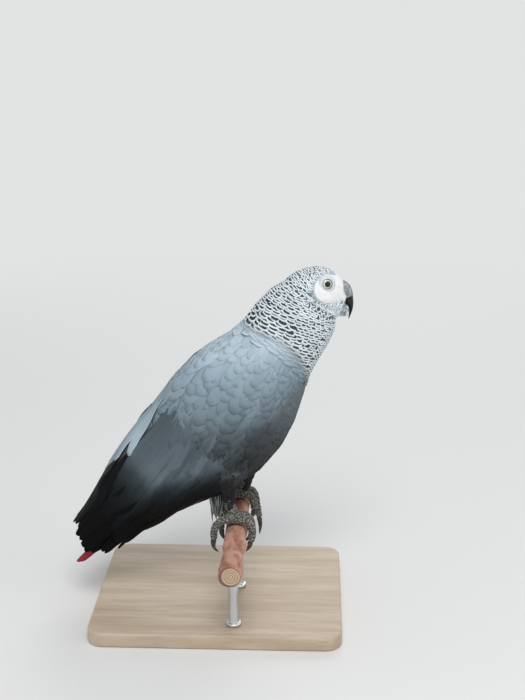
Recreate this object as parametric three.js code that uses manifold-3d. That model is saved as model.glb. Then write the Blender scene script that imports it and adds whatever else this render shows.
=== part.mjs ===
// A life-size grey parrot (Psittacus erithacus) at rest on a short length of branch,
// held by two rods on a flat base. Millimetres, +Z up, the bird faces +X and its
// mid-plane is Y = 0. The origin is the centre of the base's underside.
//
// The bird is laid out in a frame of its own, with X = 0 over the branch's axis and
// Z = 0 at the branch's top, and moved to its place on the base at the end.

import * as THREE from "three";
import { mergeVertices } from "three/addons/utils/BufferGeometryUtils.js";
import Module from "manifold-3d";

const wasm = await Module();
wasm.setup();

// ---------------------------------------------------------------- driving dimensions

const GAP = 0.3; // clearance between pieces that meet
const REACH = 400; // further than any part of the bird

const PERCH_RADIUS = 8.4;
const PERCH_SWELL = 0.45; // the radius varies by this along the branch
const PERCH_ENDS = [-108, 50]; // Y of the sawn ends
const PERCH_TOP = 82; // height of the branch's top over the floor
const PERCH_X = 15; // the branch stands this far ahead of the base's centre

const FOOT_SPREAD = 27; // Y of each foot from the mid-plane
const TOE_RADIUS = 3.7;
const TOE_TAPER = 0.05; // of the radius, from each joint to the next
const CLAW_RADII = [2.5, 1.85, 0.3];
const EYE_RADIUS = 6;
const EYE_OUT = 11.4; // Y and Z of each eyeball's centre in the head's frame
const EYE_UP = -1.6;
const WING_THICK = 4.5; // the folded wing over the body
const TIP_THICK = 3; // the stacked wing tips

const HEAD_PIVOT = new THREE.Vector3(43.5, 0, 191.8); // where the neck turns the head
const EYES_AHEAD = 24; // of that pivot
const HEAD_PITCH = 10; // degrees, bill carried low
const HEAD_YAW = 15; // degrees, turned to the bird's left

const BASE = { length: 200, width: 170, thick: 12, corner: 14, edge: 1.5 };
const ROD_RADIUS = 4;
const ROD_Y = [-66, 2.5];

const LOOKS = {
  pale: { color: 0xb9c6cc, roughness: 0.85 },
  grey: { color: 0x8f9ea6, roughness: 0.8 },
  dark: { color: 0x2b2f33, roughness: 0.7 },
  red: { color: 0x7c1620, roughness: 0.8 },
  horn: { color: 0x17181a, roughness: 0.4 },
  eye: { color: 0xd9d6b8, roughness: 0.15 },
  scale: { color: 0x6e6e68, roughness: 0.7 },
  branch: { color: 0xb98b84, roughness: 0.9 },
  stand: { color: 0x24262a, roughness: 0.5 },
};

// ---------------------------------------------------------------- closed forms

const vec = (x, y, z) => new THREE.Vector3(x, y, z);
const smooth = (points) => new THREE.CatmullRomCurve3(points);

// A unit sphere with each vertex moved to place(turn, t, pole): turn runs round the
// section, t from the first section to the last, and the poles close the two ends.
function shell(around, along, place) {
  const sphere = new THREE.SphereGeometry(1, around, along);
  const vertices = sphere.attributes.position;
  for (let i = 0; i < vertices.count; i++) {
    const row = Math.floor(i / (around + 1));
    const turn = ((i % (around + 1)) / around) * 2 * Math.PI;
    const t = THREE.MathUtils.clamp((row - 1) / (along - 2), 0, 1);
    const at = place(turn, t, row === 0 || row === along);
    vertices.setXYZ(i, at.x, at.y, at.z);
  }
  return sphere;
}

// A form with a mid-plane. Each section is [upper point, lower point, half width],
// the points in X and Z, and the form is smooth from each section to the next.
function form(sections, { around = 16, along = 10, grow = 0, y = 0 } = {}) {
  const upper = smooth(sections.map(([[x, z]]) => vec(x, 0, z)));
  const lower = smooth(sections.map(([, [x, z]]) => vec(x, 0, z)));
  const width = smooth(sections.map(([, , half], i) => vec(i, half, 0)));
  return shell(around, along, (turn, t, pole) => {
    const top = upper.getPoint(t);
    const half = top.clone().sub(lower.getPoint(t)).multiplyScalar(0.5);
    const at = top.sub(half).add(vec(0, y, 0));
    if (pole) return at;
    at.addScaledVector(half, Math.cos(turn) * (1 + grow / half.length()));
    return at.add(vec(0, Math.sin(turn) * (width.getPoint(t).y + grow), 0));
  });
}

// A round limb. Each section is [point, radius]; side is a direction it never runs in.
function limb(sections, { around = 8, along = 7, grow = 0, side = vec(0, 1, 0) } = {}) {
  const spine = smooth(sections.map(([point]) => point));
  const girth = smooth(sections.map(([, radius], i) => vec(i, radius, 0)));
  return shell(around, along, (turn, t, pole) => {
    const at = spine.getPoint(t);
    if (pole) return at;
    const forward = spine.getTangent(t);
    const up = forward.clone().cross(side).normalize();
    const across = up.clone().cross(forward);
    const radius = girth.getPoint(t).y + grow;
    at.addScaledVector(up, radius * Math.cos(turn));
    return at.addScaledVector(across, radius * Math.sin(turn));
  });
}

// ---------------------------------------------------------------- solids

// A closed mesh as a solid. A mirrored mesh comes in inside out and is turned back.
function solid(geometry) {
  geometry.deleteAttribute("normal");
  geometry.deleteAttribute("uv");
  const merged = mergeVertices(geometry, 1e-3);
  const triVerts = new Uint32Array(merged.index.array);
  const vertProperties = merged.attributes.position.array;
  const build = () =>
    new wasm.Manifold(new wasm.Mesh({ numProp: 3, vertProperties, triVerts }));
  const made = build();
  if (made.volume() > 0) return made;
  triVerts.reverse();
  return build();
}

function geometryOf(made) {
  const { numProp, numVert, vertProperties, triVerts } = made.getMesh();
  const places = new Float32Array(numVert * 3);
  for (let i = 0; i < numVert; i++) {
    const first = i * numProp;
    places.set(vertProperties.subarray(first, first + 3), i * 3);
  }
  const geometry = new THREE.BufferGeometry();
  geometry.setAttribute("position", new THREE.BufferAttribute(places, 3));
  return geometry.setIndex(new THREE.BufferAttribute(triVerts, 1));
}

// The pieces ahead of and behind a thin cut: [point, direction ahead], in X and Z.
function parted(whole, [[x, z], [aheadX, aheadZ]], turn = new THREE.Matrix4()) {
  const normal = vec(aheadX, 0, aheadZ).transformDirection(turn);
  const level = normal.dot(vec(x, 0, z).applyMatrix4(turn));
  const ahead = whole.trimByPlane(normal.toArray(), level + GAP / 2);
  const behind = whole.trimByPlane(normal.negate().toArray(), GAP / 2 - level);
  return [ahead, behind];
}

const without = (whole, ...cutters) =>
  cutters.reduce((rest, cutter) => rest.subtract(cutter), whole);

// A cut can shave slivers off a piece, so the largest body is the piece itself.
const largest = (made) => made.decompose().sort((a, b) => b.volume() - a.volume())[0];

// ---------------------------------------------------------------- head

// The head's frame has its X ahead along the bill and its origin between the eyes.
const headTurn = new THREE.Matrix4()
  .makeTranslation(HEAD_PIVOT)
  .multiply(new THREE.Matrix4().makeRotationZ(THREE.MathUtils.degToRad(HEAD_YAW)))
  .multiply(new THREE.Matrix4().makeTranslation(EYES_AHEAD, 0, 0))
  .multiply(new THREE.Matrix4().makeRotationY(THREE.MathUtils.degToRad(HEAD_PITCH)));

const onHead = (geometry) => solid(geometry.applyMatrix4(headTurn));

// From inside the neck, over the nape and crown, to the brow and the fluffed chin.
const HEAD = [
  [[-30, -10], [-29, -23], 6],
  [[-27, -0.4], [-27, -28], 13],
  [[-20, 5.4], [-20, -32], 18],
  [[-12, 9.2], [-12.5, -34], 20],
  [[-3, 11.4], [-4.5, -34], 19.4],
  [[5.5, 10], [5, -32], 17.2],
  [[12.6, 6], [12.5, -29], 13.4],
  [[18.4, 1.4], [19.5, -27], 9],
  [[20, -12.6], [23, -26], 7.4],
  [[23.6, -17.6], [24.4, -23.4], 4.6],
];

// From inside the head to the hooked tip: [culmen, cutting edge, half width].
const UPPER_BILL = [
  [[11, -1], [10, -12], 7.2],
  [[17.6, 1.6], [15.5, -12], 7.6],
  [[22.4, -1], [19.4, -13.4], 7],
  [[25.8, -6.2], [22.2, -15.8], 5.9],
  [[28, -12.6], [24.7, -18], 4.5],
  [[28.8, -19.6], [26.4, -21.4], 2.8],
  [[27.6, -27.4], [27.1, -27.9], 0.6],
];

// The soft cere at the bill's root ends at this cut.
const CERE_END = [[22, -9.5], [0.47, -0.88]];

const LOWER_BILL = [
  [[8, -15], [9, -24], 6],
  [[15, -16.4], [14.6, -25], 5.8],
  [[21, -18], [20.4, -24.6], 4.4],
  [[25.4, -19.8], [25.1, -22.2], 2.2],
];

const headForm = (grow = 0) => onHead(form(HEAD, { around: 16, along: 12, grow }));
const upperBill = (grow = 0) => onHead(form(UPPER_BILL, { around: 12, along: 11, grow }));
const lowerBill = (grow = 0) => onHead(form(LOWER_BILL, { around: 10, along: 6, grow }));

function eyeball(side, grow = 0) {
  const ball = new THREE.SphereGeometry(EYE_RADIUS + grow, 10, 8);
  return onHead(ball.translate(0, side * EYE_OUT, EYE_UP));
}

// ---------------------------------------------------------------- neck and trunk

// From inside the head, down the neck and body, to the root of the tail. The upper
// points run down the nape and back, the lower ones down the throat and breast.
const BODY = [
  [[41, 195], [78, 165], 21],
  [[25, 185.5], [77, 152.5], 25.5],
  [[13, 172.5], [71, 139.5], 28.5],
  [[2, 158], [63, 126.5], 32],
  [[-12.5, 146.5], [56, 110], 36.5],
  [[-31.5, 128.5], [51, 88.5], 41],
  [[-49.5, 107.5], [42, 66.5], 43],
  [[-62.5, 82.5], [27.5, 43.5], 42],
  [[-76.5, 54.5], [-2.5, 20.5], 34],
  [[-82.5, 30.5], [-38.5, 2.5], 24],
  [[-82.5, 12.5], [-66.5, -1.5], 14],
];

// The head, the neck and the trunk are parted at these cuts.
const NAPE_CUT = [[44, 165], [0.55, 0.83]];
const SHOULDER_CUT = [[26, 139], [0.6, 0.8]];

const bodyForm = (grow = 0) => solid(form(BODY, { around: 20, along: 13, grow }));

// ---------------------------------------------------------------- wings

// The folded wings follow an envelope a little outside the body that runs on past
// it to the wing tips, above the tail.
const WINGS = [
  [[0, 160.5], [65.5, 124.5], 33],
  [[-14, 149.5], [55.5, 109.5], 39],
  [[-36, 132.5], [50, 88], 45],
  [[-55.5, 112], [42, 67], 46.5],
  [[-70, 88], [27, 42.5], 45.5],
  [[-89, 64.5], [0, 20.5], 42],
  [[-107.5, 36], [-36.5, 6.5], 35],
  [[-120.5, 12.5], [-66.5, -13.5], 28],
  [[-132.5, -10], [-97.5, -29.5], 20],
  [[-134, -28], [-119.5, -38], 12],
];

// The flight feathers' tips are parted from the rest of the wing at this cut.
const TIP_CUT = [[-68, 24], [0.72, 0.69]];

// The same envelope, drawn in by the wing's thickness at each section and by more.
function wingForm(inset) {
  const last = WINGS.length - 1;
  const sections = WINGS.map(([upper, lower, half], i) => {
    const thick = THREE.MathUtils.lerp(WING_THICK, TIP_THICK, i / last);
    const less = inset === undefined ? 0 : thick + inset;
    const [top, bottom] = [new THREE.Vector2(...upper), new THREE.Vector2(...lower)];
    const across = top.clone().sub(bottom).setLength(less);
    return [top.sub(across).toArray(), bottom.add(across).toArray(), half - less];
  });
  return solid(form(sections, { around: 16, along: 11 }));
}

// Side outline of a folded wing: over the back, round the tip and up the lower edge
// to the wrist at the breast.
const WING_OUTLINE = [
  [23.5, 138.5],
  [-10, 172],
  [-60, 147],
  [-160, 56],
  [-160, -54],
  [-112, -47],
  [-62, -17],
  [-24, 13],
  [-6, 36],
  [4, 62],
  [20, 80],
  [35, 88],
  [38, 106],
];

function wingSlab(side, margin) {
  const shape = new THREE.Shape();
  shape.moveTo(...WING_OUTLINE[0]);
  shape.splineThru(WING_OUTLINE.slice(1).map(([x, z]) => new THREE.Vector2(x, z)));
  const plate = new THREE.ExtrudeGeometry(shape, {
    depth: REACH,
    bevelEnabled: false,
    curveSegments: WING_OUTLINE.length,
  });
  // ExtrudeGeometry rises along Z; turned upright, it runs towards -Y.
  plate.rotateX(Math.PI / 2);
  plate.translate(0, side > 0 ? REACH + margin : -margin, 0);
  return solid(plate);
}

// The mantle shows between the wings as a wedge that narrows down the back.
const MANTLE = [[60, 20], [-8, 17], [-72, 0], [-8, -17], [60, -20]];

function mantleWedge() {
  const shape = new THREE.Shape(MANTLE.map(([x, y]) => new THREE.Vector2(x, y)));
  return solid(new THREE.ExtrudeGeometry(shape, { depth: REACH, bevelEnabled: false }));
}

// ---------------------------------------------------------------- tail

const TAIL = [
  [[-60.5, 24.5], [-56.5, 20.5], 9],
  [[-78.5, 9], [-74.5, 5], 12],
  [[-97, -9], [-93.3, -12.6], 14.5],
  [[-115.5, -27], [-112.3, -30.4], 16.5],
  [[-131, -43], [-128.6, -45.6], 16.5],
  [[-136, -49], [-134.4, -50.6], 14],
];

const tailForm = (grow = 0) => solid(form(TAIL, { around: 14, along: 9, grow }));

// ---------------------------------------------------------------- legs

// Feathered thighs down to the heel: [rear point, front point, half width].
const THIGHS = {
  right: [
    [[-18, 44], [14, 49], 15],
    [[-16, 35], [7, 38], 13.5],
    [[-14, 27], [1.5, 28], 9.5],
    [[-11.5, 20.5], [-2.5, 19.5], 5.2],
  ],
  left: [
    [[-14, 44], [20, 46], 15],
    [[-9, 34], [18.5, 35], 13.5],
    [[-5, 23], [14, 22], 9.5],
    [[0.5, 14], [9, 12], 5],
  ],
};

// Bare shanks from the heel forward and down to the foot: [point, radius].
const SHANKS = {
  right: [[[-5.5, 24], 4.4], [[-5.5, 16], 4.3], [[-2.5, 9.5], 4.6]],
  left: [[[5, 17], 4.2], [[4, 13], 4.3], [[1, 9.5], 4.6]],
};

const PALM = { x: -0.5, z: 4.4, long: 8, wide: 8, high: 4.6 };

// The toes point two ahead and two behind. line is the middle line over the branch
// in X and Z, out is the toe's Y from the foot's middle, and claw ends at the tip.
const TOES = {
  outer_front: {
    out: 5,
    line: [[2, 4.6], [8.4, 5.2], [12.8, -0.6], [13.2, -8.6], [12, -13.6]],
    claw: [[10, -19.6], [5.6, -22.8]],
  },
  inner_front: {
    out: -4.6,
    line: [[2, 4.6], [7.6, 4.2], [12, -2.2], [12.2, -9]],
    claw: [[10.4, -15.4], [5.2, -18.6]],
  },
  outer_back: {
    out: 5,
    line: [[-3, 4.6], [-10, 4.6], [-16.4, -1], [-17.6, -8], [-17.4, -12]],
    claw: [[-18.2, -18.6], [-14, -23]],
  },
  inner_back: {
    out: -4.6,
    line: [[-3, 4.6], [-8.6, 3.6], [-12.8, -3], [-12.4, -8]],
    claw: [[-11.6, -14.4], [-7, -18.6]],
  },
};

// The left foot's long front toe hangs free of the branch.
const HANGING_TOE = {
  out: 5,
  line: [[2, 4.6], [8, 5.2], [12.4, 0], [14, -9.5], [15.8, -20]],
  claw: [[17, -28.4], [16, -36]],
};

const SPLAY = 0.016; // toes part as they run out from the foot

const toesOf = (side) => (side > 0 ? { ...TOES, outer_front: HANGING_TOE } : TOES);

function toePoint(side, toe, [x, z]) {
  const out = toe.out * (1 + SPLAY * Math.abs(x));
  return vec(x, side * (FOOT_SPREAD + out), z);
}

function toeForm(side, toe, grow = 0) {
  const sections = toe.line.map((place, i) => [
    toePoint(side, toe, place),
    TOE_RADIUS * (1 - TOE_TAPER * i),
  ]);
  return solid(limb(sections, { along: 8, grow }));
}

function clawForm(side, toe) {
  const places = [toe.line.at(-1), ...toe.claw];
  const sections = places.map((place, i) => [toePoint(side, toe, place), CLAW_RADII[i]]);
  return solid(limb(sections, { around: 6, along: 5 }));
}

const thighForm = (name, side, grow = 0) =>
  solid(form(THIGHS[name], { around: 12, along: 8, grow, y: side * FOOT_SPREAD }));

function shankForm(name, side) {
  const sections = SHANKS[name].map(([[x, z], radius]) => [
    vec(x, side * FOOT_SPREAD, z),
    radius,
  ]);
  return solid(limb(sections, { around: 10, along: 5 }));
}

function palmForm(side, grow = 0) {
  const ball = new THREE.SphereGeometry(1, 10, 6);
  ball.scale(PALM.long + grow, PALM.wide + grow, PALM.high + grow);
  return solid(ball.translate(PALM.x, side * FOOT_SPREAD, PALM.z));
}

// ---------------------------------------------------------------- branch and stand

// The branch is a little thicker here and thinner there along its length.
function perchForm(grow = 0) {
  const spans = 7;
  const sections = Array.from({ length: spans + 1 }, (_, i) => {
    const y = THREE.MathUtils.lerp(...PERCH_ENDS, i / spans);
    const radius = PERCH_RADIUS + PERCH_SWELL * Math.sin(1.7 * i + 1);
    return [vec(0, y, -radius), radius];
  });
  return solid(limb(sections, { around: 12, along: 10, side: vec(1, 0, 0), grow }));
}

// Each rod stands on the base and ends in a saddle under the branch.
function rodForm(y, perchClear) {
  const [foot, head] = [BASE.thick + GAP - PERCH_TOP, -PERCH_RADIUS];
  const rod = new THREE.CylinderGeometry(ROD_RADIUS, ROD_RADIUS, head - foot, 16);
  rod.rotateX(Math.PI / 2).translate(0, y, (head + foot) / 2);
  return solid(rod).subtract(perchClear);
}

function basePlate() {
  const { length, width, thick, corner, edge } = BASE;
  const [x, y, round] = [length / 2 - corner, width / 2 - corner, corner - edge];
  const shape = new THREE.Shape();
  shape.absarc(x, y, round, 0, Math.PI / 2);
  shape.absarc(-x, y, round, Math.PI / 2, Math.PI);
  shape.absarc(-x, -y, round, Math.PI, 1.5 * Math.PI);
  shape.absarc(x, -y, round, 1.5 * Math.PI, 2 * Math.PI);
  const plate = new THREE.ExtrudeGeometry(shape, {
    depth: thick - 2 * edge,
    bevelSize: edge,
    bevelThickness: edge,
    bevelSegments: 1,
    curveSegments: 4,
  });
  return solid(plate.translate(0, 0, edge));
}

// ---------------------------------------------------------------- assembly

const group = new THREE.Group();
const bird = new THREE.Group();
bird.position.set(PERCH_X, 0, PERCH_TOP);
group.add(bird);

function place(parent, name, made, look, metalness = 0) {
  const material = new THREE.MeshStandardMaterial({ ...LOOKS[look], metalness });
  const mesh = new THREE.Mesh(geometryOf(largest(made)), material);
  mesh.name = name;
  parent.add(mesh);
}

const SIDES = [
  ["right", -1],
  ["left", 1],
];

const body = bodyForm();
const bodyClear = bodyForm(GAP);
const head = headForm();
const headClear = headForm(GAP);
const tailClear = tailForm(GAP);
const wedge = mantleWedge();
const wingOuter = wingForm();
const wingRecess = wingForm(GAP);
const billClear = upperBill(GAP);

// Head, neck and trunk are one form, hollowed for the wings and parted by thin cuts.
let flesh = body;
for (const [, side] of SIDES) {
  const recess = without(wingSlab(side, -GAP), wedge, wingRecess);
  flesh = without(flesh, recess);
}
flesh = flesh.add(head);
const [headPart, belowHead] = parted(flesh, NAPE_CUT);
const [neckPart, trunkPart] = parted(belowHead, SHOULDER_CUT);

const eyeSockets = SIDES.map(([, side]) => eyeball(side, GAP));
const headWhole = without(headPart, billClear, lowerBill(GAP), ...eyeSockets);
place(bird, "head", headWhole, "pale");
place(bird, "neck", neckPart, "grey");
place(bird, "trunk", without(trunkPart, tailClear), "grey");
place(bird, "tail", tailForm(), "red");
const [horn, cere] = parted(upperBill(), CERE_END, headTurn);
place(bird, "cere", cere, "pale");
place(bird, "bill_upper", horn, "horn");
place(bird, "bill_lower", without(lowerBill(), billClear), "horn");

// A wing is thin where it lies over the body, and its flight feathers are stacked
// solid behind it.
const underWing = wingForm(0).intersect(bodyClear);
for (const [name, side] of SIDES) {
  place(bird, `eye_${name}`, eyeball(side), "eye");
  const sheet = wingOuter.intersect(wingSlab(side, GAP));
  const thighClear = thighForm(name, side, GAP);
  const wing = without(sheet, wedge, underWing, headClear, tailClear, thighClear);
  const [arm, tip] = parted(wing, TIP_CUT);
  place(bird, `wing_${name}`, arm, "grey");
  place(bird, `wing_tip_${name}`, tip, "dark");
}

const perchClear = perchForm(GAP);
for (const [name, side] of SIDES) {
  const palmClear = palmForm(side, GAP);
  const thigh = without(thighForm(name, side), bodyClear);
  const shank = without(shankForm(name, side), thighForm(name, side, GAP), palmClear, perchClear);
  place(bird, `thigh_${name}`, thigh, "grey");
  place(bird, `shank_${name}`, shank, "scale");
  place(bird, `foot_${name}`, palmForm(side).subtract(perchClear), "scale");
  for (const [which, toe] of Object.entries(toesOf(side))) {
    const bare = without(toeForm(side, toe), palmClear, perchClear);
    const claw = without(clawForm(side, toe), toeForm(side, toe, GAP), perchClear);
    place(bird, `toe_${which}_${name}`, bare, "scale");
    place(bird, `claw_${which}_${name}`, claw, "horn");
  }
}

place(bird, "perch", perchForm(), "branch");
for (const [i, y] of ROD_Y.entries()) {
  place(bird, `stand_rod_${i + 1}`, rodForm(y, perchClear), "stand", 1);
}
place(group, "stand_base", basePlate(), "stand");

export default group;
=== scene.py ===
# %% [markdown]
# # A grey parrot on a cut length of branch
#
# A museum shows a bird like this one: life-size, at rest, gripping a short perch
# over a plain stand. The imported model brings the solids. Here each feathered solid
# gives way to one skin with vanes laid over it, and the bill, eyes, claws, scales,
# bark and stand get their own shapes and finishes.

# %% The frame and the tools
import math
from collections import namedtuple

import bmesh
import bpy
import numpy as np
from mathutils import Matrix, Vector, noise
from mathutils.bvhtree import BVHTree


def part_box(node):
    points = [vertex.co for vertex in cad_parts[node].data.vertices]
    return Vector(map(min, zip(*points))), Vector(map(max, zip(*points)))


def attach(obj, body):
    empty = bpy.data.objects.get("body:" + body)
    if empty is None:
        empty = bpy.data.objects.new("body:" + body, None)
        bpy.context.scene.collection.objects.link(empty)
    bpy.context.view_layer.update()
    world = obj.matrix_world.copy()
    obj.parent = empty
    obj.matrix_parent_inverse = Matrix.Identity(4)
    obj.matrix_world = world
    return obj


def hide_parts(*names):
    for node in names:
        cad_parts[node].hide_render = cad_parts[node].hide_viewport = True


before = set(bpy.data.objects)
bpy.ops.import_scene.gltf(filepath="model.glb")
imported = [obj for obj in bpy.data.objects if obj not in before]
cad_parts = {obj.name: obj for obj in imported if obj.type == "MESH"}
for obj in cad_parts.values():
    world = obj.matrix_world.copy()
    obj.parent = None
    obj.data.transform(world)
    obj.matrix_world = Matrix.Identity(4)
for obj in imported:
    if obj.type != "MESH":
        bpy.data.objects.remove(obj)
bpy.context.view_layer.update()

scene = bpy.context.scene
dice = np.random.default_rng(7)
print("solids in the frame:", len(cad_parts))

# %% [markdown]
# ## Where things are
#
# Sizes on a bird are easiest in millimetres from a point that matters to it. Here
# that is the top of the branch under the middle of the body. The head is turned and
# dipped, so it gets a frame of its own: ahead along the bill, to the left, and up,
# from a point midway between the eyes.

# %% Two frames in millimetres
MM = 0.001
PERCH_LOW, PERCH_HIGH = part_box("perch")
GRIP = Vector(((PERCH_LOW.x + PERCH_HIGH.x) / 2, 0, PERCH_HIGH.z))
SIDES = {"right": -1, "left": 1}
TOES = ["outer_front", "inner_front", "outer_back", "inner_back"]


def bird(x, y, z):
    """A place given in millimetres from the grip."""
    return GRIP + Vector((x, y, z)) * MM


NECK_TURN = Matrix.Translation(bird(43.5, 0, 191.8)) @ Matrix.Rotation(math.radians(15), 4, "Z")
HEAD = NECK_TURN @ Matrix.Translation((24 * MM, 0, 0)) @ Matrix.Rotation(math.radians(10), 4, "Y")


def on_head(ahead, left, up):
    """A place given in millimetres in the head's frame."""
    return HEAD @ (Vector((ahead, left, up)) * MM)


# %% [markdown]
# ## Camera
#
# A portrait lens a metre away, a little above the bird and looking down on it, keeps
# its proportions true.

# %% Camera
camera = bpy.data.objects.new("camera", bpy.data.cameras.new("camera"))
scene.collection.objects.link(camera)
scene.camera = camera
camera.location = bird(59.75, -990.1, 416.6)
camera.rotation_euler = (math.radians(90 - 15.8), 0, math.radians(2.3))
camera.data.sensor_fit = "VERTICAL"
camera.data.sensor_height = 36
camera.data.lens = 66.86
camera.data.clip_start = 0.05
print("camera, metres from the bird:", round((camera.location - bird(0, 0, 90)).length, 2))
scene.view_settings.view_transform = "Standard"

# %% [markdown]
# ## Floor and light
#
# A wide pale floor under a pale world gives an even ground. One large lamp above the
# camera models the form, a weaker one ahead of the bird keeps its shadows open, a third
# lights the far side, and the world lifts what none of them reaches. Far from the model
# the floor would grow dim and end in a line. There it fades into the same plain pale
# tone that the world shows behind it, while its middle keeps the model's shadow.


# %% Small helpers for node graphs
def add(tree, kind, links=None, **settings):
    """One node, with its settings, and its sockets linked or given values."""
    made = tree.nodes.new(kind)
    for name, value in settings.items():
        setattr(made, name, value)
    for name, value in (links or {}).items():
        if isinstance(value, bpy.types.NodeSocket):
            tree.links.new(value, made.inputs[name])
        else:
            made.inputs[name].default_value = value
    return made


def maths(tree, operation, *values):
    """The result of one Math node."""
    return add(tree, "ShaderNodeMath", dict(enumerate(values)), operation=operation).outputs[0]


def mixed(tree, share, first, second, blend="MIX"):
    """Two colours mixed: socket 0 is the share, 6 and 7 are the colours."""
    return add(tree, "ShaderNodeMix", {0: share, 6: first, 7: second},
               data_type="RGBA", blend_type=blend).outputs[2]


def step(tree, value, low, high):
    """0 below low, 1 above high and smooth between."""
    return add(tree, "ShaderNodeMapRange", {"Value": value, "From Min": low, "From Max": high},
               interpolation_type="SMOOTHSTEP").outputs[0]


def pattern(tree, scale, detail=3.0, rough=0.5, where=None, kind="ShaderNodeTexNoise"):
    """A noise in metres on the piece's own place, or on another vector."""
    vector = where or add(tree, "ShaderNodeTexCoord").outputs["Object"]
    links = {"Vector": vector, "Scale": scale}
    if kind == "ShaderNodeTexNoise":
        links.update({"Detail": detail, "Roughness": rough})
    return add(tree, kind, links).outputs[0]


def stored(tree, name, output="Fac"):
    """What is painted on the mesh's points under a name."""
    return add(tree, "ShaderNodeAttribute", attribute_name=name).outputs[output]


def drawn_out(tree, *scale):
    """The piece's own place, scaled: a pattern is drawn out where the scale is small."""
    own = add(tree, "ShaderNodeTexCoord").outputs["Object"]
    return add(tree, "ShaderNodeMapping", {"Vector": own, "Scale": scale}).outputs["Vector"]


def dress(tree, shader, colour, height, distance, strength):
    """A colour for the shader, and a bump up to distance metres deep."""
    tree.links.new(colour, shader.inputs["Base Color"])
    raised = add(tree, "ShaderNodeBump", {"Height": height, "Distance": distance, "Strength": strength})
    tree.links.new(raised.outputs[0], shader.inputs["Normal"])


# %% [markdown]
# A piece is one mesh with one material. It stays at the origin with its place in its
# mesh, and rides on the one body of the model. These helpers keep that in one place.


# %% Small helpers for pieces
def material(name, roughness, **sockets):
    """A new material and its tree and shader. Constant values go straight on the shader."""
    made = bpy.data.materials.new(name)
    made.use_nodes = True
    shader = made.node_tree.nodes["Principled BSDF"]
    shader.inputs["Roughness"].default_value = roughness
    for socket, value in sockets.items():
        shader.inputs[socket.replace("_", " ")].default_value = value
    return made, made.node_tree, shader


def link(name, mesh, look):
    """A new object for a mesh, at the origin, riding on the one body."""
    piece = bpy.data.objects.new(name, mesh)
    scene.collection.objects.link(piece)
    mesh.materials.append(look)
    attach(piece, "root")
    return piece


def mesh_of(bm, name, smooth=True):
    """A bmesh as a finished mesh, its faces pointing out."""
    bmesh.ops.recalc_face_normals(bm, faces=bm.faces[:])
    mesh = bpy.data.meshes.new(name)
    bm.to_mesh(mesh)
    bm.free()
    if smooth:
        mesh.shade_smooth()
    else:
        mesh.shade_flat()
    return mesh


# %% Floor, lamps and world
FLOOR_SIZE = 12.0
GROUND_TONE = (0.76, 0.765, 0.77, 1)
# Metres from the middle between which the floor fades into that tone.
FADE = (0.45, 1.5)
floor_bm = bmesh.new()
bmesh.ops.create_grid(floor_bm, x_segments=4, y_segments=4, size=FLOOR_SIZE)
floor = bpy.data.objects.new("floor", mesh_of(floor_bm, "floor"))
scene.collection.objects.link(floor)
paper, paper_tree, paper_shader = material("pale_paper", 0.9)
paper_shader.inputs["Base Color"].default_value = (0.80, 0.80, 0.79, 1)
floor.data.materials.append(paper)


def seen_straight(tree):
    """1 on rays from the eye, and on those that a mirror or glass passes on."""
    path = add(tree, "ShaderNodeLightPath").outputs
    mirrored = maths(tree, "MAXIMUM", path["Is Glossy Ray"], path["Is Transmission Ray"])
    return maths(tree, "MAXIMUM", path["Is Camera Ray"], mirrored)


place = add(paper_tree, "ShaderNodeTexCoord").outputs["Object"]
reach = add(paper_tree, "ShaderNodeVectorMath", {0: place}, operation="LENGTH").outputs["Value"]
faded = maths(paper_tree, "MULTIPLY", step(paper_tree, reach, *FADE), seen_straight(paper_tree))
plain = add(paper_tree, "ShaderNodeEmission", {"Color": GROUND_TONE}).outputs[0]
blend = add(paper_tree, "ShaderNodeMixShader", {0: faded, 1: paper_shader.outputs[0], 2: plain})
paper_tree.links.new(blend.outputs[0], paper_tree.nodes["Material Output"].inputs["Surface"])

world = bpy.data.worlds.new("studio")
scene.world = world
world.use_nodes = True
sky = world.node_tree.nodes["Background"]
sky.inputs["Color"].default_value = (0.95, 0.97, 1.0, 1)
sky.inputs["Strength"].default_value = 0.5
behind = add(world.node_tree, "ShaderNodeBackground", {"Color": GROUND_TONE}).outputs[0]
blend = add(world.node_tree, "ShaderNodeMixShader",
            {0: seen_straight(world.node_tree), 1: sky.outputs[0], 2: behind})
world.node_tree.links.new(blend.outputs[0], world.node_tree.nodes["World Output"].inputs["Surface"])


def lamp(name, place, size, power, aim):
    """A round soft lamp at a place, its size in metres and its power in watts."""
    made = bpy.data.objects.new(name, bpy.data.lights.new(name, "AREA"))
    scene.collection.objects.link(made)
    made.data.shape = "DISK"
    made.data.size = size
    made.data.energy = power
    made.location = place
    made.rotation_euler = (aim - place).to_track_quat("-Z", "Y").to_euler()


MIDDLE = bird(-15, 0, 90)
lamp("key", MIDDLE + Vector((0.1, -1.1, 1.4)), 0.9, 16, MIDDLE)
lamp("fill", MIDDLE + Vector((1.3, -0.5, 0.6)), 1.2, 2.6, MIDDLE)
lamp("back", MIDDLE + Vector((0.2, 1.4, 1.0)), 1.0, 6, MIDDLE)

# %% [markdown]
# ## Skin
#
# Under its feathers a bird is one smooth body. The feathered and scaled solids are
# copied, swollen by a hair so that they touch, and remeshed into one closed surface.
# Smoothing rounds its facets, and it is then drawn in by the depth of the coat, which
# is nothing on the bare feet. The solids themselves are not shown any more.


# %% Copies of the solids
def solids(names, swell=0.0):
    """A bmesh of several solids, merged and swollen."""
    bm = bmesh.new()
    for name in names:
        bm.from_mesh(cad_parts[name].data)
    bmesh.ops.remove_doubles(bm, verts=bm.verts[:], dist=1e-6)
    bm.normal_update()
    for vert in bm.verts:
        vert.co += vert.normal * swell
    return bm


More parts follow.
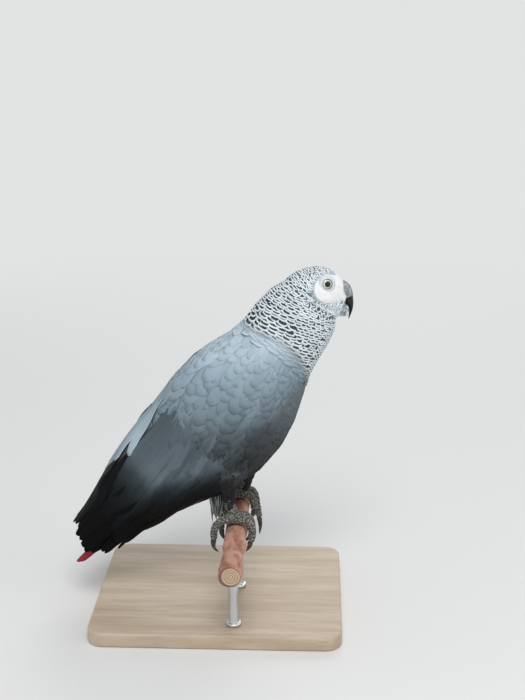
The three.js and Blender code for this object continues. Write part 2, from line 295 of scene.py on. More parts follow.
def baked(mesh, name, *modifiers):
    """A mesh after modifiers, each given as (type, settings)."""
    carrier = bpy.data.objects.new(name, mesh)
    scene.collection.objects.link(carrier)
    for kind, settings in modifiers:
        modifier = carrier.modifiers.new(kind, kind)
        for key, value in settings.items():
            setattr(modifier, key, value)
    graph = bpy.context.evaluated_depsgraph_get()
    result = bpy.data.meshes.new_from_object(carrier.evaluated_get(graph))
    bpy.data.objects.remove(carrier)
    return result


BARE = [f"{part}_{side}" for side in SIDES for part in
        ["shank", "foot"] + [f"toe_{toe}" for toe in TOES]]
FEATHERED = ["head", "neck", "trunk"] + [f"{part}_{side}" for side in SIDES
                                        for part in ["wing", "wing_tip", "thigh"]]
EYES = [f"eye_{side}" for side in SIDES]
VOXEL = 1.2 * MM

rough_skin = bpy.data.meshes.new("rough_skin")
solids(BARE + FEATHERED + EYES, swell=0.25 * MM).to_mesh(rough_skin)
skin_mesh = baked(rough_skin, "skin",
                  ("REMESH", {"mode": "VOXEL", "voxel_size": VOXEL}),
                  ("SMOOTH", {"factor": 0.5, "iterations": 6}))
print("skin faces:", len(skin_mesh.polygons))

# %% [markdown]
# The depth of the coat changes over the body: deep on the trunk, thin on the head,
# none on the feet and the bare face.


# %% Coat depth
def rise(value, low, high):
    """Smooth step for arrays: 0 below low and 1 above high."""
    t = np.clip((value - low) / (high - low), 0, 1)
    return t * t * (3 - 2 * t)


def in_mm(points):
    """Places in the bird's frame, in millimetres."""
    return (np.asarray(points, float) - np.array(GRIP)) / MM


def in_head_mm(points):
    """Places in the head's frame, in millimetres."""
    turned = np.array(HEAD.inverted())
    points = np.asarray(points, float)
    return (points @ turned[:3, :3].T + turned[:3, 3]) / MM


# The body's long axis runs from the crown to the tail tip. down is how far along it a
# place is, and over is how far it lies to the back of it.
CROWN = np.array([70.0, 195.0])
TAIL_TIP = np.array([-135.0, -50.0])
AXIS = (TAIL_TIP - CROWN) / np.linalg.norm(TAIL_TIP - CROWN)


def down_and_over(points):
    """The two body measures of places, in millimetres."""
    flat = in_mm(points)[:, [0, 2]] - CROWN
    return flat @ AXIS, flat @ np.array([AXIS[1], -AXIS[0]])


def face_reach(points):
    """1 at the edge of the bare patch round the eye, less inside it."""
    ahead, left, up = in_head_mm(points).T
    return np.hypot((ahead - 3) / 14.5, (up + 3.8) / 11.6) + (np.abs(left) < 5) * 2


def bareness(points):
    """1 on the bare skin round the eye and before it, 0 where feathers grow."""
    ahead, _, up = in_head_mm(points).T
    lores = rise(ahead, 7.5, 9.5) * rise(up, -13, -10)
    return np.maximum(1 - rise(face_reach(points), 0.9, 1.0), lores)


def search_tree(names):
    """Finds the nearest place on several solids."""
    bm = solids(names)
    made = BVHTree.FromBMesh(bm)
    bm.free()
    return made


bare_solids = search_tree(BARE)
thigh_solids = search_tree(["thigh_right", "thigh_left", "trunk"])


def mesh_points(mesh, what="co"):
    """A mesh's points, or their normals, as an array."""
    values = np.empty(len(mesh.vertices) * 3)
    if what == "co":
        mesh.vertices.foreach_get("co", values)
    else:
        mesh.vertex_normals.foreach_get("vector", values)
    return values.reshape(-1, 3)


def coat_depth(points):
    """How deep the feathers are, in millimetres."""
    down, _ = down_and_over(points)
    depth = 0.7 + 0.8 * rise(down, 35, 80)
    depth *= 1 - 0.8 * bareness(points)
    depth += 2.2 * rise(down, 280, 300)
    # Near the grip, what lies closer to a bare solid than to the thigh has no coat.
    low = in_mm(points)[:, 2] < 30
    for i in np.flatnonzero(low):
        foot = bare_solids.find_nearest(points[i])[3]
        thigh = thigh_solids.find_nearest(points[i])[3]
        shank = in_mm([points[i]])[0, 2] < 21 and foot < 3 * MM
        if shank or foot < 1.9 * MM and thigh > foot - 0.1 * MM:
            depth[i] = 0
    return depth


# %% [markdown]
# The solids leave a valley between the folded wings, where a real bird has plumage. It
# is filled up to the line of the back, measured at stations down the body. Past the
# last of the wing the skin draws in, so that only feathers make the wing tips.

# %% Plumage between the wings
TO_BACK = Vector((AXIS[1], 0, -AXIS[0]))
BACKWARDS = np.array(TO_BACK)
TAILWARDS = np.array([AXIS[0], 0, AXIS[1]])
places = mesh_points(skin_mesh)
down, over = down_and_over(places)
across = np.abs(in_mm(places)[:, 1])
facing_back = mesh_points(skin_mesh, "normal") @ BACKWARDS
valley = (facing_back > 0) & (across < 30)
stations = np.arange(84, 270, 6)
crest = [over[valley & (np.abs(down - station) < 4)].max() for station in stations]
level = np.interp(down, stations, crest) - 0.2 - across**2 / 250
filled = np.clip(level - over, 0, 20) * (facing_back > -0.5) * (over > level - 22)
filled *= rise(down, 84, 96) * (1 - rise(down, 236, 262)) * (1 - rise(across, 19, 29))
places += filled[:, None] * BACKWARDS * MM
tip = np.clip(down - 270, 0, None)[:, None]
places -= 0.5 * tip * TAILWARDS * MM
places -= 0.008 * tip * over[:, None] * BACKWARDS * MM
skin_mesh.vertices.foreach_set("co", places.ravel())

# %% [markdown]
# Creases are left between the solids of the trunk, the thighs and the wings. Rounds of
# smoothing on those points alone take them away, and the rest keeps its form.

# %% Smoothing, and drawing in by the coat's depth
SMOOTHINGS = 24
bm = bmesh.new()
bm.from_mesh(skin_mesh)
trunk = (down > 84) & (down < 176) & (in_mm(places)[:, 2] > 36)
creased = [vert for vert, chosen in zip(bm.verts, trunk | (filled > 0.05)) if chosen]
for _ in range(SMOOTHINGS):
    bmesh.ops.smooth_vert(bm, verts=creased, factor=0.5, use_axis_x=True, use_axis_y=True, use_axis_z=True)
bm.to_mesh(skin_mesh)
bm.free()
skin_mesh.update()

places = mesh_points(skin_mesh)
outward = mesh_points(skin_mesh, "normal")
depths = coat_depth(places)
places = places - outward * (depths + 0.25)[:, None] * MM

# %% [markdown]
# The eyeballs are set into the skin, which dips under each of them where the lids hide
# its edge. The gaze is the way the skin faces there, turned a little out to the side.

# %% Eye sockets
EYE_RADIUS = 6.0
SOCKET_RADIUS = 5.4
EYE_CENTRES = {side: on_head(-0.8, sign * 11.4, -0.4) for side, sign in SIDES.items()}
GAZE = {}
for side, centre in EYE_CENTRES.items():
    offset = (places - np.array(centre)) / MM
    nearby = np.linalg.norm(offset, axis=1) < 8
    gaze = Vector(outward[nearby & (offset @ np.array(HEAD.col[1][:3]) * SIDES[side] > 4)].mean(0))
    GAZE[side] = (gaze.normalized() + HEAD.col[1].xyz * SIDES[side]).normalized()
    along = offset @ np.array(GAZE[side])
    aside = np.linalg.norm(offset - along[:, None] * np.array(GAZE[side]), axis=1)
    under = (along > 0) & (aside < SOCKET_RADIUS)
    sunk = np.minimum(along, along - (along - 3.6) * (1 - rise(aside, 4.2, SOCKET_RADIUS)))
    places[under] += ((sunk - along)[:, None] * np.array(GAZE[side]))[under] * MM
skin_mesh.vertices.foreach_set("co", places.ravel())
skin_mesh.update()
surface = BVHTree.FromPolygons([Vector(p) for p in places],
                               [tuple(p.vertices) for p in skin_mesh.polygons])
print("coat depth, mm:", round(depths.min(), 2), round(depths.max(), 2))

# %% [markdown]
# ## Markings
#
# One function gives the colour of the plumage at any place. The skin and the body's
# vanes both use it, so that a gap between vanes doesn't show. The quills, tail, chin and
# legs have tints of their own. The head and neck are dark feathers with broad pale
# rims, the mantle is a clear blue-grey, and the wings darken towards their tips. Lower
# down, painted shade as if lit from above deepens the greys, most of all on the belly
# and legs. The belly gives way to red under the tail.

# %% Markings
PALE_RIM = np.array([0.84, 0.92, 0.95])
BARE_WHITE = np.array([0.89, 0.91, 0.92])


def ramp(value, *stops):
    """Colours between stops, each given as (value, red, green, blue)."""
    table = np.array(stops).T
    return np.stack([np.interp(value, table[0], channel) for channel in table[1:]], 1)


def towards(first, second, share):
    """First colours mixed with second ones, by a share for each place."""
    share = np.asarray(share)[:, None]
    return first * (1 - share) + second * share


def scaliness(down, over):
    """1 on the head and neck, where dark feathers have pale rims, and 0 past them."""
    end = np.interp(over, [-50, -36, -20, -4, 10, 28], [77, 66, 57, 56, 61, 69])
    return 1 - rise(down - end, -5, 4)


def plumage(points, outward):
    """Colour (n, 3) and strength of the pale rim (n) at places on the body."""
    down, over = down_and_over(points)
    ahead, _, up = in_head_mm(points).T
    across = np.abs(in_mm(points)[:, 1])
    back_turned = outward @ BACKWARDS
    # Down the body the grey gets deeper. Partly that is the bird's own grey, and the
    # darkening towards the lower side, weighted by over, is painted shade from above.
    colour = ramp(down - 1.2 * over, (62, 0.46, 0.57, 0.65), (85, 0.32, 0.42, 0.49),
                  (100, 0.27, 0.355, 0.41), (120, 0.215, 0.285, 0.33), (140, 0.17, 0.22, 0.255),
                  (160, 0.090, 0.115, 0.130), (190, 0.048, 0.058, 0.064), (250, 0.027, 0.030, 0.033))
    # The belly's grey is painted shade: it deepens to a dark grey at mid-belly, and under lays it where
    # the skin faces down and forwards, away from the light.
    belly = ramp(down, (60, 0.20, 0.255, 0.29), (100, 0.12, 0.15, 0.165), (125, 0.060, 0.070, 0.075),
                 (150, 0.036, 0.042, 0.045), (185, 0.13, 0.14, 0.145), (215, 0.19, 0.20, 0.203))
    height = in_mm(points)[:, 2]
    leg = (1 - rise(height, 30, 52)) * rise(in_mm(points)[:, 0], -34, -26)
    # Towards the wing tips the grey goes near black: the tips' own dark, reached sooner on the lower side
    # as painted shade.
    wing_end = (1 - leg) * rise(down - 1.5 * np.minimum(over, 0), 196, 240)
    colour = towards(colour, np.array([0.005, 0.0055, 0.006]), wing_end)
    front = rise(-over, 30, 40) * (1 - rise(down, 170, 200))
    under = rise(-back_turned, 0.35, 0.7) * (1 - rise(across, 16, 24)) * rise(down, 120, 160)
    colour = towards(colour, belly, np.maximum(front, under) * (1 - rise(down, 222, 232)))
    # Painted shade: the leg feathers are darkened to near black, as in the shade under the body.
    colour = towards(colour, np.array([0.026, 0.027, 0.028]), leg)
    vent = under * rise(down, 226, 234) * (1 - rise(across, 12, 15))
    colour = towards(colour, np.array([0.20, 0.012, 0.016]), vent)
    scaly = scaliness(down, over)
    by_face = 1 - rise(face_reach(points), 1.0, 1.35)
    pale = np.maximum(rise(ahead, -10, 8) * rise(up, -13, -3), 0.7 * by_face)
    pale = np.maximum(pale, 0.7 * rise(ahead, 7, 14))
    dark = ramp(down, (8, 0.090, 0.115, 0.135), (38, 0.052, 0.067, 0.082), (62, 0.028, 0.038, 0.047))
    dark = towards(dark, np.array([0.44, 0.52, 0.56]), pale)
    soft = 0.12 * colour[:, 1] + 0.22 * (1 - rise(down, 60, 95)) * rise(over, -30, 0)
    colour = towards(colour, dark, scaly)
    rim = np.maximum(scaly, soft)
    bare = bareness(points)
    return towards(colour, BARE_WHITE, bare), rim * (1 - bare)


def paint(mesh, name, values, kind="FLOAT_COLOR"):
    """A named attribute on a mesh's points."""
    layer = mesh.attributes.new(name, kind, "POINT")
    slot = {"FLOAT_COLOR": "color", "FLOAT_VECTOR": "vector", "FLOAT": "value"}[kind]
    layer.data.foreach_set(slot, np.asarray(values, np.float32).ravel())


# %% [markdown]
# The skin shows between the feathers and on the bare face, soft and faintly mottled.
# Its mottling is a noise and its grain a bump from small cells. It is unwrapped into
# islands, so that its colours can be laid out flat later on.

# %% The skin's unwrap and finish
def unwrap(mesh):
    """A map of the piece's own surface, laid out in islands."""
    carrier = bpy.data.objects.new("unwrap", mesh)
    scene.collection.objects.link(carrier)
    bpy.context.view_layer.objects.active = carrier
    carrier.select_set(True)
    mesh.uv_layers.new(name="OFBake")
    bpy.ops.object.mode_set(mode="EDIT")
    bpy.ops.mesh.select_all(action="SELECT")
    bpy.ops.uv.smart_project(angle_limit=math.radians(66), island_margin=0.002)
    bpy.ops.object.mode_set(mode="OBJECT")
    bpy.data.objects.remove(carrier)


unwrap(skin_mesh)
corners = np.empty(len(skin_mesh.loops) * 2)
skin_mesh.uv_layers["OFBake"].data.foreach_get("uv", corners)
corners = corners.reshape(-1, 2)
starts = np.array([polygon.loop_start for polygon in skin_mesh.polygons])
FACE_UV = (corners[starts] + corners[starts + 2]) / 2

skin_mesh.shade_smooth()
colours = plumage(places, outward)[0]
NO_COAT = 0.05
scaly_skin = (depths < NO_COAT)[:, None]
colours = np.where(scaly_skin, np.array([0.07, 0.07, 0.062]), colours)
paint(skin_mesh, "tint", np.c_[colours, np.ones(len(colours))])

skin_look, tree, shader = material("skin", 0.75)
mottle = step(tree, pattern(tree, 260, 4), 0.35, 0.7)
colour = mixed(tree, mottle, stored(tree, "tint", "Color"), (0.93, 0.90, 0.87, 1), "MULTIPLY")
dress(tree, shader, colour, pattern(tree, 900, kind="ShaderNodeTexVoronoi"), 0.00012, 0.5)
skin = link("skin", skin_mesh, skin_look)
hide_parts(*BARE, *FEATHERED)

# %% [markdown]
# ## A vane
#
# Every feather here is a thin closed leaf. One flat grid, thickened by the solidify
# operator, is the pattern for all of one kind. Each copy is then bent along its own
# path over the skin: where it lies across, along and through the grid says where each
# of its points goes. A copy keeps its own soft outline, crown and ragged tip.

# %% Vanes
# A vane follows path, with ups across its face. half is its half width. crown, tilt and
# drop bend it over its middle, to one side and down at both, all in millimetres.
Vane = namedtuple("Vane", "path ups half length thick crown tilt rim shade uv drop",
                  defaults=[(0, 0), 0.0])
LONG_VANE = 30


def vane_grid(columns, rows):
    """Across (-1 to 1), along (0 to 1) and top (0 or 1) of each point, and the faces."""
    bm = bmesh.new()
    bmesh.ops.create_grid(bm, x_segments=columns, y_segments=rows, size=1)
    bmesh.ops.solidify(bm, geom=bm.faces[:], thickness=1)
    bmesh.ops.recalc_face_normals(bm, faces=bm.faces[:])
    points = np.array([vert.co for vert in bm.verts])
    faces = np.array([[vert.index for vert in face.verts] for face in bm.faces])
    bm.free()
    top = (points[:, 2] - points[:, 2].min()) / np.ptp(points[:, 2])
    return points[:, 0], (points[:, 1] + 1) / 2, top, faces


def outline(along, blunt):
    """Half width along a vane, from a narrow root to a broad, rounded or blunt tip."""
    return (0.42 + 0.58 * rise(along, 0, 0.5)) * (1 - (1 - blunt) * rise(along, 0.55, 1.06))


def weights(along, count):
    """How much each of count path points counts at each place along, by Catmull-Rom."""
    reach = np.clip(along, 0, 1) * (count - 1)
    first = np.minimum(reach.astype(int), count - 2)
    t = (reach - first)[:, None]
    basis = 0.5 * np.hstack([-t + 2 * t**2 - t**3, 2 - 5 * t**2 + 3 * t**3,
                             t + 4 * t**2 - 3 * t**3, -t**2 + t**3])
    table = np.zeros((len(along), count))
    for k in range(4):
        np.add.at(table, (np.arange(len(along)), np.clip(first + k - 1, 0, count - 1)), basis[:, k])
    return table


def unit(vectors):
    """Vectors brought to a length of one."""
    return vectors / np.maximum(np.linalg.norm(vectors, axis=-1, keepdims=True), 1e-12)


# %% [markdown]
# One call turns a list of vanes into one piece. All its copies are worked out at once,
# as arrays, because a loop over thousands of small meshes would be slow. Each point
# also keeps its colour, how near it is to the vane's edge, and its place along the
# barbs, for the material to read.


# %% A piece of many vanes
def plumes(name, vanes, look, grid, blunt, ragged=0.05, side_rim=0.8, own=None, point=0.16):
    """One piece of many vanes.

    grid is (columns, rows). blunt, ragged and point shape the tip, side_rim is how wide
    the pale rim is at the sides, and own gives colours in place of the markings.
    """
    across, along, top, faces = vane_grid(*grid)
    along = along**0.8
    path = np.array([vane.path for vane in vanes])
    ups = np.array([vane.ups for vane in vanes])
    half, length, thick, crown, tilt, rim, shade, drop = (
        np.array([getattr(vane, field) for vane in vanes])[:, None]
        for field in ["half", "length", "thick", "crown", "tilt", "rim", "shade", "drop"])
    fray = dice.uniform(0, ragged, (len(vanes), len(along)))
    fray[:, top < 0.5] = 0
    fray *= rise(along, 0.6, 1)
    keys = [(round(a, 4), round(b, 4)) for a, b in zip(across, along)]
    upper = {key: i for i, key in enumerate(keys) if top[i] > 0.5}
    fray = fray[:, [upper[key] for key in keys]]
    reach = outline(along, blunt) * across
    where = along - point * across**2 * along**3
    places = np.einsum("km,nmc->nkc", weights(where, path.shape[1]), path)
    ahead = np.einsum("km,nmc->nkc", weights(np.minimum(where + 0.02, 1), path.shape[1])
                      - weights(np.minimum(where + 0.02, 1) - 0.04, path.shape[1]), path)
    normals = unit(np.einsum("km,nmc->nkc", weights(where, path.shape[1]), ups))
    ahead = unit(ahead)
    aside = unit(np.cross(normals, ahead))
    places -= ahead * (fray * length * MM)[..., None]
    height = thick * top * (1 - 0.5 * rise(along, 0.7, 1)) + crown * (1 - across**2) - drop * reach**2
    height = (height + tilt * reach) * MM
    places = places + aside * (reach * half * MM)[..., None] + normals * height[..., None]
    flat = places.reshape(-1, 3)
    if own is None:
        colour, strength = plumage(flat, normals.reshape(-1, 3))
    else:
        colour, strength = own(flat)
    colour = colour * np.broadcast_to(shade, half.shape[:1] + along.shape).reshape(-1, 1)
    side_edge = (1 - np.abs(across)) * outline(along, blunt) * half
    tip_edge = (1 - along) * length
    edge = np.minimum(side_edge / side_rim, tip_edge) / rim
    barbs = np.stack([reach * half, where * length + 0 * half,
                      np.broadcast_to(dice.random((len(vanes), 1)), edge.shape)], -1)

    mesh = bpy.data.meshes.new(name)
    count = len(along)
    corners = (faces[None] + np.arange(len(vanes))[:, None, None] * count).reshape(-1)
    mesh.vertices.add(len(flat))
    mesh.vertices.foreach_set("co", flat.ravel())
    mesh.loops.add(len(corners))
    mesh.loops.foreach_set("vertex_index", corners)
    mesh.polygons.add(len(corners) // 4)
    mesh.polygons.foreach_set("loop_start", np.arange(0, len(corners), 4))
    mesh.update(calc_edges=True)
    paint(mesh, "tint", np.c_[colour, strength])
    paint(mesh, "edge", edge, "FLOAT")
    paint(mesh, "barbs", barbs, "FLOAT_VECTOR")
    # Long vanes share the map out in strips, and a short one takes a spot of it.
    if length.max() > LONG_VANE:
        order = np.arange(len(vanes))[:, None]
        spots = np.stack([(order + 0.5 + 0.42 * across) / len(vanes),
                          np.broadcast_to(0.01 + 0.98 * along, edge.shape)], -1)
    else:
        centres = np.array([vane.uv for vane in vanes])[:, None, :]
        spots = centres + 0.0015 * np.stack([across, 2 * along - 1], -1)
    uv = mesh.uv_layers.new(name="OFBake")
    uv.data.foreach_set("uv", spots.reshape(-1, 2)[corners].ravel())
    mesh.shade_smooth()
    piece = link(name, mesh, look)
    print(name, "vanes:", len(vanes), "triangles:", 2 * len(mesh.polygons))
    return piece


# %% [markdown]
# A vane is dark at its heart and pale towards its rim where the markings say so. Fine
# barbs run out from the shaft at a slant, too fine for mesh, so they are a bump.


# %% How plumage looks
def plumage_look(name, roughness, gloss, rim=PALE_RIM):
    """A finish for vanes, which takes tint, edge and barbs from their points."""
    look, tree, shader = material(name, roughness, Specular_IOR_Level=gloss)
    edge = stored(tree, "edge")
    barbs = stored(tree, "barbs", "Vector")
    parts = add(tree, "ShaderNodeSeparateXYZ", {"Vector": barbs})
    soft = pattern(tree, 1.6, 2, where=barbs)
    wavering = maths(tree, "ADD", edge, maths(tree, "MULTIPLY", maths(tree, "SUBTRACT", soft, 0.5), 0.3))
    rimmed = maths(tree, "SUBTRACT", 1.0, step(tree, wavering, 0.72, 1.12))
    share = maths(tree, "MULTIPLY", rimmed, stored(tree, "tint", "Alpha"))
    colour = mixed(tree, share, stored(tree, "tint", "Color"), (*rim, 1))
    cloud = pattern(tree, 60, 3)
    light = maths(tree, "ADD", maths(tree, "MULTIPLY", cloud, 0.3), 0.85)
    own = maths(tree, "ADD", maths(tree, "MULTIPLY", parts.outputs["Z"], 0.12), 0.94)
    level = maths(tree, "MULTIPLY", light, own)
    grey = add(tree, "ShaderNodeCombineColor", {0: level, 1: level, 2: level}).outputs[0]
    slant = maths(tree, "ADD", parts.outputs["Y"],
                  maths(tree, "MULTIPLY", maths(tree, "ABSOLUTE", parts.outputs["X"]), -0.9))
    ridge = maths(tree, "SINE", maths(tree, "MULTIPLY", slant, 14.0))
    shaft = maths(tree, "SUBTRACT", 1.0,
                  step(tree, maths(tree, "ABSOLUTE", parts.outputs["X"]), 0.1, 0.35))
    height = maths(tree, "ADD", maths(tree, "MULTIPLY", ridge, 0.35), shaft)
    dress(tree, shader, mixed(tree, 1.0, colour, grey, "MULTIPLY"), height, 0.00008, 0.6)
    return look


GREY_VANES = plumage_look("grey_plumage", 0.75, gloss=0.1)
DARK_VANES = plumage_look("flight_plumage", 0.6, gloss=0.06)
RED_VANES = plumage_look("red_plumage", 0.7, gloss=0.2, rim=(0.10, 0.006, 0.008))

# %% [markdown]
# ## Rows of feathers
#
# A line runs inside the bird from the bill's root back through the head and neck and
# down the body to the wing tips. Rays cast in towards it find the skin all round, and
# the roots go where they land, in staggered rows. The feathers point down the line, as
# plumage does. Where rows fan apart, as over the nape, the feathers are longer, so that
# they still reach over the gap.

# %% The line inside the body
SPINE_MM = [in_mm([on_head(*place)])[0] for place in
            [(20, 0, -13), (8, 0, -11), (-5, 0, -11), (-16, 0, -14)]]
SPINE_MM += [(48, 0, 168), (38, 0, 152), (27, 0, 136), (14, 0, 117), (0, 0, 95), (-14, 0, 73),
             (-30, 0, 53), (-48, 0, 36), (-68, 0, 20), (-90, 0, 1), (-110, 0, -17), (-126, 0, -32)]
SPINE = weights(np.linspace(0, 1, 400), len(SPINE_MM)) @ np.array([bird(*p) for p in SPINE_MM])
RUN = np.r_[0, np.cumsum(np.linalg.norm(np.diff(SPINE, axis=0), axis=1))] / MM
SPINE_DOWN = down_and_over(SPINE)[0]
print("line inside the body, mm:", round(RUN[-1]))

# How far below level the feathers point, in degrees, along the line.
SLOPE = ([0, 8, 20, 32, 45, 65, 85, 100], [-10, 8, 38, 60, 68, 64, 55, 50.1])


def on_spine(run):
    """Point and heading on the line, run millimetres from its start."""
    here = Vector([np.interp(run, RUN, SPINE[:, i]) for i in range(3)])
    slope = math.radians(np.interp(run, *SLOPE))
    yaw = math.radians(np.interp(run, [10, 45], [15, 0]))
    level = Vector((-math.cos(yaw), -math.sin(yaw), 0))
    return here, level * math.cos(slope) + Vector((0, 0, -math.sin(slope)))


def landing(point, tangent, angle, reach=64):
    """Where a ray towards a point lands on the skin: 0 degrees is from the back."""
    back = Vector((tangent.z, 0, -tangent.x))
    back = (back - tangent * back.dot(tangent)).normalized()
    left = tangent.cross(back)
    ray = back * math.cos(math.radians(angle)) + left * math.sin(math.radians(angle))
    place, normal, face, _ = surface.ray_cast(point + ray * reach * MM, -ray, reach * MM)
    if place is None or normal.dot(ray) < 0.05:
        return None
    return place, normal, face


# %% [markdown]
# Roots that are too close would pile feathers up, so a grid of cells remembers them. A
# feather's path then steps over the skin from its root and lifts towards its tip.


# %% Roots and paths
class Ground:
    """Remembers the roots, so that no two are too close."""

    def __init__(self, cell):
        self.cell = cell * MM
        self.roots = {}

    def key(self, place):
        return tuple(int(math.floor(c / self.cell)) for c in place)

    def free(self, place, apart):
        x, y, z = self.key(place)
        near = (root for i in (-1, 0, 1) for j in (-1, 0, 1) for k in (-1, 0, 1)
                for root in self.roots.get((x + i, y + j, z + k), ()))
        return all((root - place).length > apart * MM for root in near)

    def take(self, place):
        self.roots.setdefault(self.key(place), []).append(place)


def laid(place, normal, lie, length, lift, steps=3):
    """A path over the skin from a root, rising to lift millimetres at its tip."""
    path, ups = [place - normal * 0.1 * MM], [normal]
    here, heading = place, (lie - normal * lie.dot(normal)).normalized()
    stride = length * MM / (steps - 1)
    for i in range(1, steps):
        landed, normal, _, _ = surface.find_nearest(here + heading * stride)
        moved = landed - here
        if moved.length > 0.1 * stride:
            heading = (moved - normal * moved.dot(normal)).normalized()
        here = landed
        path.append(here + normal * (lift * i / (steps - 1)) * MM)
        ups.append(normal)
    return path, ups


# %% [markdown]
# ## The folded wings
#
# The wing's own frame has two numbers: how far down the body, and the share of the way
# round from the mid-back to the wing's lower edge. The lower edge is read from the
# wing's solids.

# %% Places on the folded wing
WING_DOWN = np.arange(100, 301, 8)
LOW_TURN = []
wing_points = np.vstack([mesh_points(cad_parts[name].data) for name in ["wing_left", "wing_tip_left"]])
wing_points = np.vstack([wing_points[:-1] * (1 - t) + wing_points[1:] * t for t in (0, 0.25, 0.5, 0.75)])
wing_down, wing_over = down_and_over(wing_points)


def run_at(down):
    """How far along the inner line a distance down the body is."""
    body = SPINE_DOWN > 60
    return np.interp(down, SPINE_DOWN[body], RUN[body])


for down in WING_DOWN:
    near = np.flatnonzero(np.abs(wing_down - down) < 9)
    lowest = Vector(wing_points[near[np.argmin(wing_over[near])]])
    point, tangent = on_spine(run_at(down))
    back = (TO_BACK - tangent * TO_BACK.dot(tangent)).normalized()
    offset = lowest - point
    LOW_TURN.append(math.degrees(math.atan2(offset.y, offset.dot(back))))
print("turn to the wing's lower edge:", [round(turn) for turn in LOW_TURN])


def on_wing(side, down, share):
    """Where the wing's two numbers are on the skin."""
    point, tangent = on_spine(run_at(down))
    return landing(point, tangent, SIDES[side] * share * np.interp(down, WING_DOWN, LOW_TURN), 72)


def quill(side, downs, shares, layer, steps=7):
    """A path down the wing. layer is how high it lies over the skin, past its root."""
    path, ups = [], []
    for t in np.linspace(0, 1, steps):
        down = downs[0] + (downs[1] - downs[0]) * t
        landed = down < 266 and on_wing(side, down, shares[0] + (shares[1] - shares[0]) * t**1.3)
        if landed or not path:
            place, normal = landed[:2] if landed else surface.find_nearest(on_spine(run_at(down))[0])[:2]
            lift = layer * float(rise(down, 148, 180)) - 0.25 * (1 - float(rise(t, 0, 0.3)))
            path.append(place + normal * lift * MM)
            ups.append(normal)
        else:
            stride = (downs[1] - downs[0]) / (steps - 1) * MM
            heading = (path[-1] - path[-2]).normalized() + Vector(TAILWARDS)
            path.append(path[-1] + heading.normalized() * stride)
            ups.append(ups[-1])
    return path, ups


# %% [markdown]
# Thirteen long feathers, the primaries, lie lowest and make the dark wing tip. Thirteen
# secondaries cover their roots, and four tertials, painted pale as if lit from above, lie
# on top, along the back, and end over the black. Each feather's lower edge lies over the
# next one down, so the tilt of its vane takes the sign of its side.

# %% Flight feathers
# Roots and tips are distances down the body, from the back to the lower edge, and the
# shares are the way round the wing there. layers is how high the vanes lie over the skin.
Group = namedtuple("Group", "count roots tips root_shares tip_shares half layers")
FLIGHT = {
    "primaries": Group(13, (196, 208), (291, 298, 268), (0.06, 0.955), (0.03, 0.88), 7.0, (0.5, 0.0)),
    "secondaries": Group(13, (128, 138), (258, 276, 256), (0.23, 0.90), (0.27, 0.86), 6.4, (0.95, 0.5)),
    "tertials": Group(4, (112, 122), (235, 224, 211), (0.04, 0.08), (0.04, 0.20), 6.4, (1.5, 1.15)),
}


def flight_vanes(group):
    """The long feathers of one group on both wings, from the back to the lower edge."""
    vanes = []
    for side, sign in SIDES.items():
        for u in np.linspace(0, 1, group.count):
            root = np.interp(u, [0, 1], group.roots)
            tip = np.interp(u, [0, 0.6, 1], group.tips) + dice.uniform(-4, 4)
            shares = [np.interp(u, [0, 1], ends) for ends in (group.root_shares, group.tip_shares)]
            path, ups = quill(side, (root, tip), shares, np.interp(u, [0, 1], group.layers))
            vanes.append(Vane(path, ups, group.half * dice.uniform(0.94, 1.06), tip - root, thick=0.3,
                              crown=0.5, tilt=0.16 * sign, rim=0.55, shade=dice.uniform(0.78, 1.2)))
    return vanes


# %% [markdown]
# Each group has a tint of its own down the wing: near black, blue-grey that turns
# black, and for the tertials a grey painted pale as if lit from above. Painted shade
# darkens the lower edge, and a painted shadow lies under the tertials.


# %% Tints of the flight feathers
def dark_quills(points):
    """The primaries are near black, with a trace of blue."""
    down, over = down_and_over(points)
    # They darken down the body, and sooner on the lower side, where over weighs in, as painted shade.
    colour = ramp(down - 1.5 * np.minimum(over, 0), (150, 0.025, 0.029, 0.031), (200, 0.010, 0.011, 0.012),
                  (240, 0.004, 0.0045, 0.005), (300, 0.003, 0.003, 0.0035))
    return colour, np.full(len(points), 0.002)


def middle_quills(points):
    """The secondaries go from blue-grey to near black at their tips, and painted shade darkens their lower
    edge.
    """
    down, over = down_and_over(points)
    colour = ramp(down - 1.5 * np.minimum(over, 0), (150, 0.098, 0.128, 0.149), (188, 0.110, 0.143, 0.166),
                  (203, 0.125, 0.160, 0.184), (216, 0.042, 0.054, 0.062), (230, 0.014, 0.018, 0.021),
                  (250, 0.005, 0.006, 0.007), (270, 0.003, 0.003, 0.0035))
    # Painted shadow: near black along the secondaries' upper edge, in the gap under the tertials.
    colour = towards(colour, np.array([0.003, 0.0035, 0.004]), rise(over, 29.5, 32) * rise(down, 166, 173))
    return colour, 0.25 * colour[:, 1]


def tertials_lit_from_above(points):
    """The tertials are a grey painted pale by light from above, a little deeper at their tips."""
    down, _ = down_and_over(points)
    colour = ramp(down, (110, 0.33, 0.43, 0.50), (160, 0.28, 0.37, 0.43), (190, 0.38, 0.48, 0.54),
                  (212, 0.35, 0.43, 0.48), (236, 0.25, 0.30, 0.33))
    return colour, np.full(len(points), 0.3)


TINTS = {"primaries": dark_quills, "secondaries": middle_quills, "tertials": tertials_lit_from_above}
for name, group in FLIGHT.items():
    look, slot = (DARK_VANES, "dark_feathers") if name == "primaries" else (GREY_VANES, "grey_feathers")
    plumes(name, flight_vanes(group), look, (6, 14), blunt=0.5, ragged=0.012, own=TINTS[name],
           point=0.07)

# %% [markdown]
# Three rows of coverts lie over the roots of the flight feathers, each row over the
# one below.

# %% Wing coverts
# Each row is (tip, length, count, layer, half width), the lowest row first.
COVERTS = [(184, 38, 11, 1.05, 7.4), (170, 32, 12, 1.10, 6.8), (158, 28, 13, 1.15, 6.2)]


